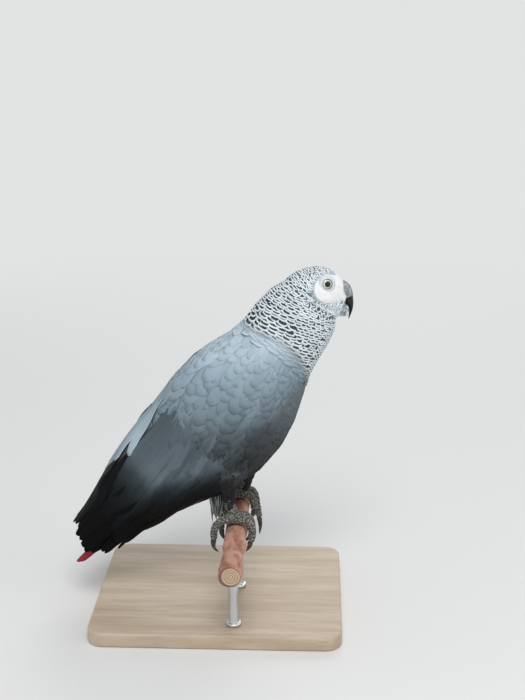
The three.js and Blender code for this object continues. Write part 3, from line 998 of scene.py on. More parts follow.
def covert_vanes():
    """Rows of coverts on both wings, set a half step apart from row to row."""
    vanes = []
    for row, (tip, length, count, layer, half) in enumerate(COVERTS):
        for side, sign in SIDES.items():
            for k in range(count):
                share = 0.25 + 0.68 * (k + 0.5 * (row % 2)) / count
                end = tip - 9 * rise(share, 0.6, 1.0) + dice.normal(0, 1.2)
                drift = 0.02 + dice.normal(0, 0.006)
                path, ups = quill(side, (end - length, end), (share - drift, share + drift), layer, 5)
                vanes.append(Vane(path, ups, half * dice.uniform(0.92, 1.08), length, thick=0.14,
                                  crown=0.2, tilt=0.1 * sign, rim=0.7, shade=dice.uniform(0.95, 1.05)))
    return vanes


def covert_tint(points):
    """From the body's grey, with its painted shade, to that of the secondaries below."""
    down, _ = down_and_over(points)
    body, _ = plumage(points, np.tile([0.0, 0.0, 1.0], (len(points), 1)))
    return towards(body, middle_quills(points)[0], rise(down, 140, 176)), np.full(len(points), 0.03)


plumes("wing_coverts", covert_vanes(), GREY_VANES, (4, 8), blunt=0.5, ragged=0.03,
       own=covert_tint)

# %% [markdown]
# ## Body feathers
#
# Less than two millimetres of each feather shows round the face. On the neck they are
# broad and blunt, and on the back large and smooth. How much of one shows is read from
# its place on the body, and the rest of its size follows from that.

# %% Rows of body feathers
# long, apart and rim are shares of what shows of a feather. wide is a share of apart,
# crown of the half width, and lift of the coat's depth. thick is in millimetres.
Coat = namedtuple("Coat", "long apart wide thick crown rim lift")
COATS = {
    "head_feathers": Coat(2.7, 2.2, 0.66, 0.11, 0.03, 0.82, 0.9),
    "neck_feathers": Coat(2.7, 3.3, 0.66, 0.12, 0.03, 0.74, 0.9),
    "trunk_feathers": Coat(4.4, 1.3, 0.90, 0.10, 0.01, 0.5, 0.5),
}
TURNS = np.arange(0, 361, 5)
ground = Ground(cell=12.0)


def exposed_at(places):
    """How much of each feather shows past the one before it, in millimetres."""
    down, _ = down_and_over(places)
    ahead = in_head_mm(places)[:, 0]
    by_body = np.interp(down, [5, 20, 35, 50, 62, 80, 100], [1.6, 1.8, 2.0, 2.45, 3.3, 5.8, 7.4])
    by_leg = np.where(in_mm(places)[:, 0] > -30, np.interp(in_mm(places)[:, 2], [24, 62], [2.6, 8]), 9)
    return np.minimum(np.minimum(by_body, by_leg), np.interp(ahead, [-30, -14, 5], [9, 2.4, 1.6]))


def coat_names(places):
    """Which part of the coat grows at each place."""
    down, over = down_and_over(places)
    face = (in_head_mm(places)[:, 0] > -20) & (down < 45)
    neck = scaliness(down, over) > 0.1
    return np.where(face, "head_feathers", np.where(neck, "neck_feathers", "trunk_feathers"))


# %% [markdown]
# A row starts where the skin has run on by what shows of one feather. That differs
# round the ring, so a row may be only a stretch of it. Each feather is fitted to the
# skin's curve, so that its edges lie down and don't stand off.


# %% Rows that fall due, and one feather
def due_stretches(shares):
    """Stretches of the ring, as index lists, where the next row is due."""
    ready = shares > 0.9
    if ready.all():
        return [list(range(len(shares)))] if shares.max() >= 1 else []
    start = int(np.argmin(ready))
    order = [(start + i) % len(shares) for i in range(len(shares))]
    stretches, current = [], []
    for i in order + [start]:
        if ready[i]:
            current.append(i)
        elif current:
            stretches.append(current)
            current = []
    return [stretch for stretch in stretches if shares[stretch].max() >= 1 and len(stretch) > 1]


def fitted(path, ups, half):
    """How far the skin falls away at a vane's edges: evenly, and to one side."""
    here, up = path[-2], ups[-2]
    aside = up.cross(path[-1] - path[-2]).normalized()
    low = (here - surface.find_nearest(here)[0]).dot(up)
    falls = [(here - surface.find_nearest(here + aside * edge * half * MM)[0]).dot(up) - low
             for edge in (-1, 1)]
    left, right = np.clip(np.array(falls) / MM, -0.15, 0.5 * half)
    return (left + right) / 2, (left - right) / 2


def grow(vanes, name, place, normal, face, heading, gap, exposed):
    """One body feather, in the style of its part of the coat."""
    coat = COATS[name]
    size = dice.uniform(0.94, 1.06)
    sway = Matrix.Rotation(dice.normal(0, 0.04), 3, normal)
    length = max(gap, exposed) * size * coat.long
    half = exposed * coat.apart * size * coat.wide
    lift = float(coat_depth(np.array([place]))[0]) * (coat.lift + dice.normal(0, 0.04))
    path, ups = laid(place, normal, sway @ heading, length, lift, 5 if name == "trunk_feathers" else 3)
    drop, tilt = fitted(path, ups, half)
    vanes[name].append(Vane(path, ups, half, length, coat.thick, coat.crown * half, tilt,
                            exposed * coat.rim, dice.uniform(0.96, 1.04), FACE_UV[face], drop))


def spread_over(stretch, row, needs, names):
    """Turns along a stretch of the ring, evenly apart, for the feathers of one row."""
    turns = np.array([TURNS[i] for i in stretch])
    turns = np.where(turns < turns[0], turns + 360, turns)
    steps = [(row[b][0] - row[a][0]).length / MM if row[a] and row[b] else 0
             for a, b in zip(stretch, stretch[1:])]
    apart = np.array([COATS[names[i]].apart * needs[i] for i in stretch[1:]])
    many = np.r_[0, np.cumsum(np.minimum(steps, 9) / apart)]
    if len(stretch) == len(row):
        count = max(1, round(many[-1]))
        where = (np.arange(count) + dice.uniform(0, 1)) * many[-1] / count
    else:
        where = np.arange(dice.uniform(-0.3, 0.7), max(many[-1] + 0.3, 0.71), 1)
    return turns, np.interp(where, many, turns)


# %% [markdown]
# The ring of rays moves down the line in small steps and lays a row wherever one is
# due. A last pass looks for holes and puts one feather more in each.


# %% All the rows
def body_vanes(keep):
    """Rows of feathers: a row starts wherever the skin has run on by one exposed length."""
    vanes = {name: [] for name in COATS}
    last = [None] * (len(TURNS) - 1)
    spots = []
    for run in np.arange(0.5, 288, 0.3):
        point, heading = on_spine(run)
        reach = np.interp(run, [0, 30, 60], [34, 40, 66])
        row = [landing(point, heading, turn, reach) for turn in TURNS[:-1]]
        landed_at = np.array([landed[0] if landed else point for landed in row])
        needs, names = exposed_at(landed_at), coat_names(landed_at)
        gone = np.zeros(len(row))
        for i, landed in enumerate(row):
            if landed and last[i] is None:
                last[i] = landed[0] - heading * needs[i] * dice.uniform(0.5, 1) * MM
            if landed:
                moved = landed[0] - last[i]
                gone[i] = math.copysign(moved.length / MM, moved.dot(heading))
        for stretch in due_stretches(gone / needs):
            turns, chosen = spread_over(stretch, row, needs, names)
            for turn in chosen:
                landed = landing(point, heading, turn, reach)
                if not landed or not keep(turn, landed[0]):
                    continue
                nearest = stretch[int(np.argmin(np.abs(turns - turn)))]
                if not ground.free(landed[0], 0.3 * needs[nearest]):
                    continue
                ground.take(landed[0])
                gap = min(gone[nearest], 1.5 * needs[nearest])
                grow(vanes, names[nearest], *landed, heading, gap, needs[nearest])
            for i in stretch:
                last[i] = row[i][0] if row[i] else last[i]
        spots += [(turn, landed, heading, need, name)
                  for turn, landed, need, name in zip(TURNS, row, needs, names) if landed]
    # A feather more wherever the rows have left a hole.
    for i in dice.permutation(len(spots))[::3]:
        turn, landed, heading, need, name = spots[i]
        hole = max(0.45 * (1 + COATS[name].apart**2 / 4), 1.05) * need
        if ground.free(landed[0], hole) and keep(turn, landed[0]):
            ground.take(landed[0])
            grow(vanes, name, *landed, heading, need, need)
    return vanes


def where_feathers(turn, place):
    """Whether a body feather grows here: not on the wing, the feet or the bare face."""
    spot = np.array([place])
    down = down_and_over(spot)[0][0]
    side = abs((turn + 180) % 360 - 180)
    if down > 142 and side < np.interp(down, WING_DOWN, LOW_TURN) + 2:
        return False
    if in_mm(spot)[0, 2] < 26 and bare_solids.find_nearest(place)[3] < 1.2 * MM:
        return False
    return bareness(spot)[0] < 0.5


grown = body_vanes(where_feathers)
for name, slot, blunt, side_rim in [("head_feathers", "pale_feathers", 0.8, 0.12),
                                    ("neck_feathers", "grey_feathers", 0.85, 0.1),
                                    ("trunk_feathers", "grey_feathers", 0.66, 0.8)]:
    plumes(name, grown[name], GREY_VANES, (4, 4), blunt=blunt, side_rim=side_rim)

# %% [markdown]
# ## Tail
#
# Twelve red feathers lie like a hand of cards, the middle pair on top. Each keeps its
# own path down the tail, so the fan opens a little towards the tip.

# %% Tail feathers
# Each place on the tail's middle is (ahead, up, half the tail's width).
TAIL_MM = [(-58.5, 22.5, 9), (-76.5, 7, 12), (-95.2, -10.8, 14.5), (-113.9, -28.7, 16.5),
           (-129.8, -44.3, 16.5), (-135.2, -49.8, 14)]
TAIL_UP = Vector((-0.686, 0, 0.728))
TAIL_COUNT = 12


def tail_red(points):
    down, _ = down_and_over(points)
    # Deeper red towards the root, where the tail lies under the wings and body: painted shade. The tip
    # shows the tail's own red.
    colour = ramp(down, (210, 0.17, 0.015, 0.020), (260, 0.32, 0.019, 0.025), (320, 0.38, 0.022, 0.028))
    return colour, np.full(len(points), 0.5)


def tail_vanes():
    """The tail's feathers from the right edge to the left, the middle ones longest."""
    vanes = []
    for i in range(TAIL_COUNT):
        u = 2 * (i + 0.5) / TAIL_COUNT - 1
        short = 1 - 0.10 * abs(u) ** 1.5
        path = [bird(x, u * (half - 4.2), z) + TAIL_UP * (1.5 * (1 - abs(u)) - 0.9) * MM
                for x, z, half in TAIL_MM]
        path = [path[0] + (place - path[0]) * short for place in path]
        up = (TAIL_UP + Vector((0, 0.22 * u, 0))).normalized()
        vanes.append(Vane(path, [up] * len(path), half=5.8, length=104 * short, thick=0.35, crown=0.5,
                          tilt=-0.2 * np.sign(u), rim=0.8, shade=dice.uniform(0.9, 1.08)))
    return vanes


tail = plumes("tail_feathers", tail_vanes(), RED_VANES, (6, 12), blunt=0.4, ragged=0.012,
              side_rim=1, own=tail_red, point=0.1)
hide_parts("tail")

# %% [markdown]
# ## Leg feathers
#
# Short soft feathers run down each thigh to the heel and end in a fringe over the bare
# shank. Wispy ones hang from the vent behind the legs.

# %% Thighs and vent
# The middle of each leg, from the thigh down to the heel, as (ahead, up).
LEG_LINES = {"right": [(-2, 47), (-4, 39), (-5.5, 31), (-6.4, 23)],
             "left": [(3, 46), (4.2, 39), (4.7, 31), (4.5, 23)]}
FOOT_SPREAD = 27
VENT_COUNT = 260


def leg_vanes():
    """Rings of short feathers round each leg, from its top to the heel."""
    vanes = []
    for side, sign in SIDES.items():
        line = weights(np.linspace(0, 1, 12), 4) @ np.array(LEG_LINES[side])
        places_down = [bird(x, sign * FOOT_SPREAD, z) for x, z in line]
        for row, point in enumerate(places_down[1:-1], 1):
            lie = (places_down[row + 1] - places_down[row - 1]).normalized()
            first = lie.orthogonal().normalized()
            count = 17 - row // 2
            for k in range(count):
                turn = (k + 0.5 * (row % 2)) / count * 2 * math.pi
                ray = Matrix.Rotation(turn, 3, lie) @ first
                place, normal, face, _ = surface.ray_cast(point + ray * 26 * MM, -ray, 26 * MM)
                if place is None or normal.dot(ray) < 0.2 or not ground.free(place, 2.0):
                    continue
                if min(tree.find_nearest(place)[3] for tree in (thigh_solids, bare_solids)) > 2.5 * MM:
                    continue
                ground.take(place)
                sway = Matrix.Rotation(dice.normal(0, 0.12), 3, normal)
                path, ups = laid(place, normal, sway @ lie, dice.uniform(7, 9), 1.2)
                if in_mm([path[-1]])[0, 2] < 15:
                    continue
                vanes.append(Vane(path, ups, dice.uniform(1.8, 2.4), length=8, thick=0.13, crown=0.25,
                                  tilt=0, rim=0.6, shade=dice.uniform(0.85, 1.05), uv=FACE_UV[face]))
    return vanes


# The leg feathers' tint is painted shade: a near-black grey for the shade under the body, darker than
# their own grey.
def leg_grey_in_shade(points):
    height = in_mm(points)[:, 2]
    colour = ramp(height, (14, 0.030, 0.030, 0.030), (22, 0.022, 0.022, 0.023), (46, 0.026, 0.028, 0.030))
    return colour, np.full(len(points), 0.01)


def vent_vanes():
    """Loose feathers that hang from places scattered under the body."""
    vanes = []
    for _ in range(VENT_COUNT):
        x, y = dice.uniform(-23, -8), dice.choice([-1, 1]) * dice.uniform(3, 27)
        place, _, face, _ = surface.ray_cast(bird(x, y, -30), Vector((0, 0, 1)), 90 * MM)
        if place is None or in_mm([place])[0, 2] < 14 or bare_solids.find_nearest(place)[3] < 0.8 * MM:
            continue
        lie = Vector(((-14 - x) / 26 + dice.normal(0, 0.06), dice.normal(0, 0.06), -1)).normalized()
        length = dice.uniform(17, 26)
        path = [place - lie * 2 * MM + lie * length * t * MM for t in (0, 0.5, 1)]
        up = Vector((0.6, -0.5 * np.sign(y) + dice.normal(0, 0.4), 0)).normalized()
        vanes.append(Vane(path, [up] * 3, 1.5, length, thick=0.12, crown=0.25, tilt=0, rim=0.7,
                          shade=dice.uniform(0.9, 1.1), uv=FACE_UV[face]))
    return vanes


def vent_grey(points):
    return np.tile([0.22, 0.23, 0.225], (len(points), 1)), np.full(len(points), 0.25)


# %% [markdown]
# Under the bill the chin's feathers are puffed forward over the root of its lower half.
# There is no skin to follow out there, so each path is drawn in the head's frame, in
# three ranks one behind the other.

# %% Chin feathers
def chin_vanes():
    """Paths in the head's frame. Each place is (ahead, side reach, middle height, reach down)."""
    vanes = []
    for sign in SIDES.values():
        for turn in np.radians(np.arange(-58, 94, 9)):
            for back in (0, 2.6, 5.2):
                around = turn + dice.normal(0, 0.05)
                path, ups = [], []
                for x, out, middle, drop in [(13 - back, 7.7, -19.6, 5.6), (19 - back, 6.9, -20.4, 5.8),
                                             (24.6 - back + dice.normal(0, 0.5), 4.6, -21.4, 4.6)]:
                    along, left = math.sin(around), sign * math.cos(around)
                    path.append(on_head(x, left * out, middle - along * drop))
                    ups.append(HEAD.to_3x3() @ Vector((0.15, left, -along)).normalized())
                place, _, face, _ = surface.find_nearest(path[0])
                path[0] = place
                vanes.append(Vane(path, ups, half=1.5, length=11, thick=0.12, crown=0.15, tilt=0,
                                  rim=1.5, shade=dice.uniform(0.95, 1.05), uv=FACE_UV[face]))
    return vanes


def chin_pale(points):
    """Grey at the root of the chin, and paler towards the bill."""
    ahead = in_head_mm(points)[:, 0]
    return ramp(ahead, (10, 0.11, 0.128, 0.14), (22, 0.18, 0.21, 0.225)), np.full(len(points), 0.7)


plumes("chin_feathers", chin_vanes(), GREY_VANES, (2, 5), blunt=0.45, ragged=0.12,
       side_rim=0.45, own=chin_pale)
plumes("leg_feathers", leg_vanes(), GREY_VANES, (2, 4), blunt=0.5, ragged=0.1,
       own=leg_grey_in_shade)
plumes("vent_feathers", vent_vanes(), GREY_VANES, (2, 6), blunt=0.35, ragged=0.22,
       own=vent_grey)

# %% [markdown]
# ## Eyes
#
# The eyeball is a sphere set in the head as deep as a real one, with the slight bulge
# of a cornea. Its pole looks out along the gaze, and the distance from that axis tells
# pupil, iris and rim apart. A clear coat gives the wet shine. A turned ring of skin
# makes the two lids, and it is drawn a little flatter above and below.

# %% Eyeballs
# Millimetres out from the axis of the gaze, where each soft edge starts and ends.
PUPIL_EDGE = (2.35, 2.5)
IRIS_SHADE = (3.1, 3.5)
IRIS_EDGE = (3.5, 3.7)
CORNEA_HEIGHT = 0.3
CORNEA_REACH = 2.6
eye_look, tree, shader = material("eye", 0.3, Coat_Weight=0.6, Coat_Roughness=0.04, Specular_IOR_Level=0.2)
ring_out = stored(tree, "ring")
streaks = pattern(tree, 3.4, 3, 0.6, stored(tree, "streak", "Vector"))
iris = mixed(tree, step(tree, streaks, 0.3, 0.7), (0.62, 0.61, 0.47, 1), (0.84, 0.83, 0.72, 1))
iris = mixed(tree, step(tree, ring_out, *IRIS_SHADE), iris, (0.72, 0.72, 0.63, 1))
wavy = maths(tree, "ADD", ring_out, maths(tree, "MULTIPLY", maths(tree, "SUBTRACT", streaks, 0.5), 0.12))
colour = mixed(tree, step(tree, wavy, *PUPIL_EDGE), (0.004, 0.004, 0.005, 1), iris)
colour = mixed(tree, step(tree, ring_out, *IRIS_EDGE), colour, (0.018, 0.018, 0.020, 1))
tree.links.new(colour, shader.inputs["Base Color"])


def facing(side):
    """Turns +Z to the gaze, with X level, and moves to the eye's centre."""
    gaze = GAZE[side]
    level = Vector((0, 0, 1)).cross(gaze).normalized()
    turn = Matrix((level, gaze.cross(level), gaze)).transposed().to_4x4()
    return Matrix.Translation(EYE_CENTRES[side]) @ turn


for side in SIDES:
    bm = bmesh.new()
    bmesh.ops.create_uvsphere(bm, u_segments=64, v_segments=48, radius=EYE_RADIUS * MM)
    local = np.array([vert.co for vert in bm.verts]) / MM
    for vert in bm.verts:
        if vert.co.z > 0:
            off_axis = vert.co.xy.length / MM / CORNEA_REACH
            vert.co.z += CORNEA_HEIGHT * math.exp(-(off_axis**2)) * MM
    bmesh.ops.transform(bm, matrix=facing(side), verts=bm.verts[:])
    mesh = mesh_of(bm, f"eyeball_{side}")
    out = np.hypot(local[:, 0], local[:, 1])
    out[local[:, 2] < 0] = 9
    turn = np.arctan2(local[:, 1], local[:, 0])
    paint(mesh, "ring", out, "FLOAT")
    paint(mesh, "streak", np.c_[np.cos(turn) * 2.5, np.sin(turn) * 2.5, out * 0.12], "FLOAT_VECTOR")
    ball = link(f"eyeball_{side}", mesh, eye_look)
    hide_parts(f"eye_{side}")
    print("gaze", side, [round(v, 2) for v in GAZE[side]])

# %% Lids
# The ring's section, as (out from the axis, towards the gaze).
LID = [(3.8, 5.0), (3.95, 5.32), (4.3, 5.48), (4.7, 5.34), (5.05, 5.42), (5.6, 5.3), (6.2, 4.9),
       (6.9, 4.0), (7.35, 2.7), (7.2, 1.2), (6.2, 1.0), (5.2, 2.6), (4.8, 3.2), (4.0, 4.0)]
lid_look, tree, shader = material("lid", 0.6)
fine = pattern(tree, 1400, 2)
pale_lid = mixed(tree, step(tree, fine, 0.35, 0.7), (0.60, 0.62, 0.63, 1), (0.78, 0.80, 0.81, 1))
colour = mixed(tree, step(tree, stored(tree, "ring"), 3.95, 4.25), (0.07, 0.07, 0.072, 1), pale_lid)
dress(tree, shader, colour, fine, 0.0001, 0.5)
for side in SIDES:
    loop = np.array(LID + LID[:2])
    outline_points = [loop[i] * (1 - t) + loop[i + 1] * t for i in range(len(LID)) for t in (0, 0.5)]
    bm = bmesh.new()
    verts = [bm.verts.new((r * MM, 0, h * MM)) for r, h in outline_points]
    edges = [bm.edges.new((verts[i - 1], verts[i])) for i in range(len(verts))]
    bmesh.ops.spin(bm, geom=verts + edges, cent=(0, 0, 0), axis=(0, 0, 1), angle=2 * math.pi,
                   steps=72, use_merge=True)
    bmesh.ops.remove_doubles(bm, verts=bm.verts[:], dist=1e-7)
    for vert in bm.verts:
        turn = math.atan2(vert.co.y, vert.co.x)
        fold = 0.10 * math.sin(turn * 9 + vert.co.z * 900) * MM
        vert.co.z += fold * (0.3 if vert.co.xy.length < 3.9 * MM else 1)
        vert.co.y *= 0.97
    bmesh.ops.smooth_vert(bm, verts=bm.verts[:], factor=0.4, use_axis_x=True, use_axis_y=True,
                          use_axis_z=True)
    from_axis = [vert.co.xy.length / MM for vert in bm.verts]
    bmesh.ops.transform(bm, matrix=facing(side), verts=bm.verts[:])
    mesh = mesh_of(bm, f"lids_{side}")
    paint(mesh, "ring", from_axis, "FLOAT")
    link(f"lids_{side}", mesh, lid_look)

# %% [markdown]
# ## Bill and cere
#
# The bill is horn over bone. The upper half is hooked and deep at its root, and the
# lower half is a scoop that meets it from below. A sphere's rings are moved onto the
# bill's sections, which closes both ends. The cere is the soft skin over its root, with
# the two nostrils.

# %% Bill
# Each section is [culmen or lip, cutting edge or chin, half width].
UPPER_BILL = [[(11, -1), (10, -12), 7.2], [(17.6, 1.6), (15.5, -12), 7.6], [(22.4, -1), (19.4, -13.4), 7],
              [(25.8, -6.2), (22.2, -15.8), 5.9], [(28, -12.6), (24.7, -18), 4.5],
              [(28.8, -19.6), (26.4, -21.4), 2.8], [(27.6, -27.4), (27.1, -27.9), 0.6]]
LOWER_BILL = [[(8, -15), (9, -24), 6], [(15, -16.4), (14.6, -25), 5.8], [(21, -18), (20.4, -24.6), 4.4],
              [(25.4, -19.8), (25.1, -22.2), 2.2]]


def lofted(sections, around, along, grow=0.0, keel=0.0):
    """A closed form through sections in the head's frame. keel narrows the upper side."""
    upper, lower = (np.array([section[i] for section in sections]) for i in (0, 1))
    half = np.array([section[2] for section in sections])
    bm = bmesh.new()
    bmesh.ops.create_uvsphere(bm, u_segments=around, v_segments=along, radius=1)
    for vert in bm.verts:
        ring_number = math.acos(min(max(vert.co.z, -1), 1)) / math.pi * along
        pole = ring_number < 0.5 or ring_number > along - 0.5
        t = np.array([min(max((ring_number - 1) / (along - 2), 0), 1)])
        mix = weights(t, len(sections))[0]
        top, bottom, wide = mix @ upper, mix @ lower, mix @ half
        middle, reach = (top + bottom) / 2, (top - bottom) / 2
        flat = vert.co.xy.normalized() if not pole else Vector((0, 0))
        rise_up = math.copysign(abs(flat.x) ** 0.9, flat.x)
        spread = math.copysign(abs(flat.y) ** 0.85, flat.y) * (1 - keel * max(flat.x, 0) ** 2)
        place = middle + reach * rise_up * (1 + grow / max(np.linalg.norm(reach), 0.5))
        vert.co = on_head(place[0], spread * (wide + grow), place[1])
    return bm


horn, tree, shader = material("horn", 0.42, Specular_IOR_Level=0.35)
layers = pattern(tree, 700, 3, 0.6)
dust = step(tree, pattern(tree, 240, 4), 0.42, 0.75)
colour = mixed(tree, dust, (0.008, 0.008, 0.009, 1), (0.030, 0.031, 0.033, 1))
dress(tree, shader, colour, layers, 0.0001, 0.35)

upper_bill = link("upper_bill", mesh_of(lofted(UPPER_BILL, 48, 56, keel=0.35), "upper_bill"), horn)
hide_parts("bill_upper")
lower_bill = link("lower_bill", mesh_of(lofted(LOWER_BILL, 36, 24), "lower_bill"), horn)
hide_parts("bill_lower")
print("bill points:", len(upper_bill.data.vertices), len(lower_bill.data.vertices))

# %% Cere
CERE_END = on_head(22, 0, -9.5)
CERE_AHEAD = (HEAD.to_3x3() @ Vector((0.47, 0, -0.88))).normalized()
NOSTRIL = (17.4, 5.7, -6.2)
bm = lofted(UPPER_BILL, 72, 80, grow=0.45, keel=0.3)
bmesh.ops.bisect_plane(bm, geom=bm.verts[:] + bm.edges[:] + bm.faces[:], plane_co=CERE_END,
                       plane_no=CERE_AHEAD, clear_outer=True)
bmesh.ops.edgeloop_fill(bm, edges=[edge for edge in bm.edges if edge.is_boundary])
rim_edges = [edge for edge in bm.edges if any(len(face.verts) > 8 for face in edge.link_faces)]
bmesh.ops.bevel(bm, geom=rim_edges, offset=0.35 * MM, segments=3, profile=0.5, affect="EDGES", material=-1)
nostrils = [on_head(NOSTRIL[0], sign * NOSTRIL[1], NOSTRIL[2]) for sign in SIDES.values()]
bm.normal_update()
moves = []
for vert in bm.verts:
    away = min((vert.co - place).length for place in nostrils) / MM
    lump = 0.45 * math.exp(-((away - 1.9) / 0.8) ** 2) - 1.3 * math.exp(-(away / 1.0) ** 2)
    grain_up = 0.10 * noise.noise(vert.co * 700)
    moves.append(vert.normal * (lump + grain_up) * MM)
for vert, move in zip(bm.verts, moves):
    vert.co += move
cere_look, tree, shader = material("cere", 0.62)
own = add(tree, "ShaderNodeTexCoord").outputs["Object"]
nearest = None
for place in nostrils:
    far = add(tree, "ShaderNodeVectorMath", {0: own, 1: tuple(place)},
              operation="DISTANCE").outputs["Value"]
    nearest = far if nearest is None else maths(tree, "MINIMUM", nearest, far)
pale = mixed(tree, step(tree, pattern(tree, 420, 4), 0.35, 0.7),
             (0.16, 0.178, 0.19, 1), (0.38, 0.41, 0.43, 1))
# Painted shade: the nostrils are shallow dents, painted near black as deep holes look.
nostril_shade = maths(tree, "SUBTRACT", 1.0, step(tree, nearest, 0.0011, 0.0019))
colour = mixed(tree, nostril_shade, pale, (0.02, 0.018, 0.018, 1))
dress(tree, shader, colour, pattern(tree, 1600, 2), 0.0001, 0.4)
cere = link("soft_cere", mesh_of(bm, "soft_cere"), cere_look)
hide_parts("cere")
print("cere points:", len(cere.data.vertices))

# %% [markdown]
# ## Feet
#
# The bare feet are part of the skin. Small raised scales sit close together all over
# them, larger along the top of each toe. One low dome is the pattern, and each is
# turned, stretched and set on the skin. The claws are the solids, subdivided until they
# are smooth.

# %% Scales
dome = bmesh.new()
bmesh.ops.create_uvsphere(dome, u_segments=6, v_segments=4, radius=1)
DOME = np.array([vert.co for vert in dome.verts])
DOME_FACES = [[vert.index for vert in face.verts] for face in dome.faces]
dome.free()


def scale_places():
    """Faces of the skin on the bare feet, thinned until they are evenly apart."""
    spread = Ground(cell=2.4)
    on_foot = set(np.flatnonzero(depths < NO_COAT).tolist())
    found = []
    for index in dice.permutation(len(skin_mesh.polygons)):
        polygon = skin_mesh.polygons[index]
        if not all(corner in on_foot for corner in polygon.vertices):
            continue
        upward = 0.5 + 0.5 * polygon.normal.z
        apart = 1.15 + 0.75 * upward
        if spread.free(polygon.center, apart):
            spread.take(polygon.center)
            found.append((polygon.center.copy(), polygon.normal.copy(), apart, int(index)))
    return found


scales = scale_places()
points, faces, patches = [], [], []
for k, (place, normal, apart, index) in enumerate(scales):
    aside = Vector((0, 1, 0)).cross(normal)
    aside = aside.normalized() if aside.length > 0.2 else normal.orthogonal().normalized()
    other = normal.cross(aside)
    wide = apart * dice.uniform(0.60, 0.70)
    frame_of = np.array([aside * wide * 0.78, other * wide * 1.15, normal * 0.36])
    points.append(np.array(place) + DOME @ frame_of * MM)
    faces += [[corner + k * len(DOME) for corner in face] for face in DOME_FACES]
    patches += [FACE_UV[index] + 0.0012 * DOME[corner][:2] for face in DOME_FACES for corner in face]
scale_mesh = bpy.data.meshes.new("foot_scales")
scale_mesh.from_pydata(np.vstack(points).tolist(), [], faces)
scale_mesh.uv_layers.new(name="OFBake").data.foreach_set("uv", np.array(patches).ravel())
scale_mesh.shade_smooth()
paint(scale_mesh, "shade", np.repeat(dice.uniform(0, 1, len(scales)), len(DOME)), "FLOAT")
scale_look, tree, shader = material("scale", 0.62, Specular_IOR_Level=0.4)
colour = mixed(tree, stored(tree, "shade"), (0.115, 0.114, 0.102, 1), (0.33, 0.326, 0.292, 1))
dusty = mixed(tree, step(tree, pattern(tree, 260, 4), 0.4, 0.7), colour, (0.20, 0.198, 0.177, 1))
tree.links.new(dusty, shader.inputs["Base Color"])
link("foot_scales", scale_mesh, scale_look)
print("foot scales:", len(scales))

# %% Claws
claw_look, tree, shader = material("claw", 0.36, Coat_Weight=0.2, Coat_Roughness=0.25)
colour = mixed(tree, step(tree, pattern(tree, 420, 4), 0.4, 0.75),
               (0.018, 0.016, 0.016, 1), (0.075, 0.068, 0.062, 1))
dress(tree, shader, colour, pattern(tree, 900, 3), 0.0001, 0.4)
for side in SIDES:
    for toe in TOES:
        name = f"claw_{toe}_{side}"
        rough = bpy.data.meshes.new(name)
        solids([name], swell=0.12 * MM).to_mesh(rough)
        smooth = baked(rough, name, ("SUBSURF", {"levels": 3, "render_levels": 3}))
        smooth.shade_smooth()
        nail = link(f"nail_{toe}_{side}", smooth, claw_look)
        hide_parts(name)

# %% [markdown]
# ## Perch
#
# A length sawn from a living branch: round, a little uneven, with knots, lenticels and
# two clean ends. Its outline is spun round the branch's axis, then the bark is raised
# by noise, less where the toes close on it.

# %% Branch
BRANCH_RADIUS = 8.4
LOW_END, HIGH_END = in_mm([PERCH_LOW, PERCH_HIGH])[:, 1]


def turned(profile, steps):
    """A closed bmesh spun about Z from a profile of (radius, height) in metres."""
    bm = bmesh.new()
    verts = [bm.verts.new((radius, 0, height)) for radius, height in profile]
    edges = [bm.edges.new(pair) for pair in zip(verts, verts[1:])]
    bmesh.ops.spin(bm, geom=verts + edges, cent=(0, 0, 0), axis=(0, 0, 1), angle=2 * math.pi,
                   steps=steps, use_merge=True)
    bmesh.ops.remove_doubles(bm, verts=bm.verts[:], dist=1e-7)
    bmesh.ops.recalc_face_normals(bm, faces=bm.faces[:])
    return bm


def branch_radius(y):
    """The branch swells and thins a little along its length."""
    span = 7 * (y - LOW_END) / (HIGH_END - LOW_END)
    return BRANCH_RADIUS + 0.45 * math.sin(1.7 * span + 1)


# Each knot is (along the branch, turn round it, height, width).
KNOTS = [(-52, 0.25, 2.2, 4.5), (-61, 3.5, 1.6, 4.0), (-84, 5.2, 1.8, 5.0), (-72, 1.2, 1.0, 3.5),
         (2, 2.6, 1.2, 4.0), (44, 1.0, 1.5, 4.5), (-96, 2.4, 1.3, 4.0)]
stations = np.linspace(LOW_END + 0.5, HIGH_END - 0.5, 150)
sawn_end = [(0, 0), (2.5, 0), (5, 0), (7.2, 0), (7.9, 0.15)]
profile = [(radius, LOW_END + inwards) for radius, inwards in sawn_end]
profile += [(branch_radius(y), y) for y in stations]
profile += [(radius, HIGH_END - inwards) for radius, inwards in reversed(sawn_end)]
bm = turned([(r * MM, y * MM) for r, y in profile], 72)
bark_depth = []
for vert in bm.verts:
    y = vert.co.z / MM
    turn = math.atan2(vert.co.y, vert.co.x)
    radius = vert.co.xy.length / MM
    clear = min(abs(abs(y) - FOOT_SPREAD), 12) / 12
    lump = 0.5 * noise.noise(Vector((vert.co.x * 90, vert.co.y * 90, vert.co.z * 34)))
    crease = 0.28 * noise.noise(Vector((vert.co.x * 420, vert.co.y * 420, vert.co.z * 160)))
    swelling = 0.0
    for knot_y, knot_turn, height, wide in KNOTS:
        off = math.hypot((y - knot_y) / wide, (turn - knot_turn + math.pi) % (2 * math.pi) - math.pi)
        swelling += height * math.exp(-off * off * 2.2) - 0.55 * height * math.exp(-off * off * 30)
    waist = -0.7 * math.exp(-((y + 68) / 7) ** 2) + 0.5 * math.exp(-((y + 50) / 8) ** 2)
    out = (lump + crease) * (0.35 + 0.65 * clear) + (swelling + waist) * clear
    if radius > 7.5:
        vert.co.xy *= 1 + out / radius
    bark_depth.append(out)
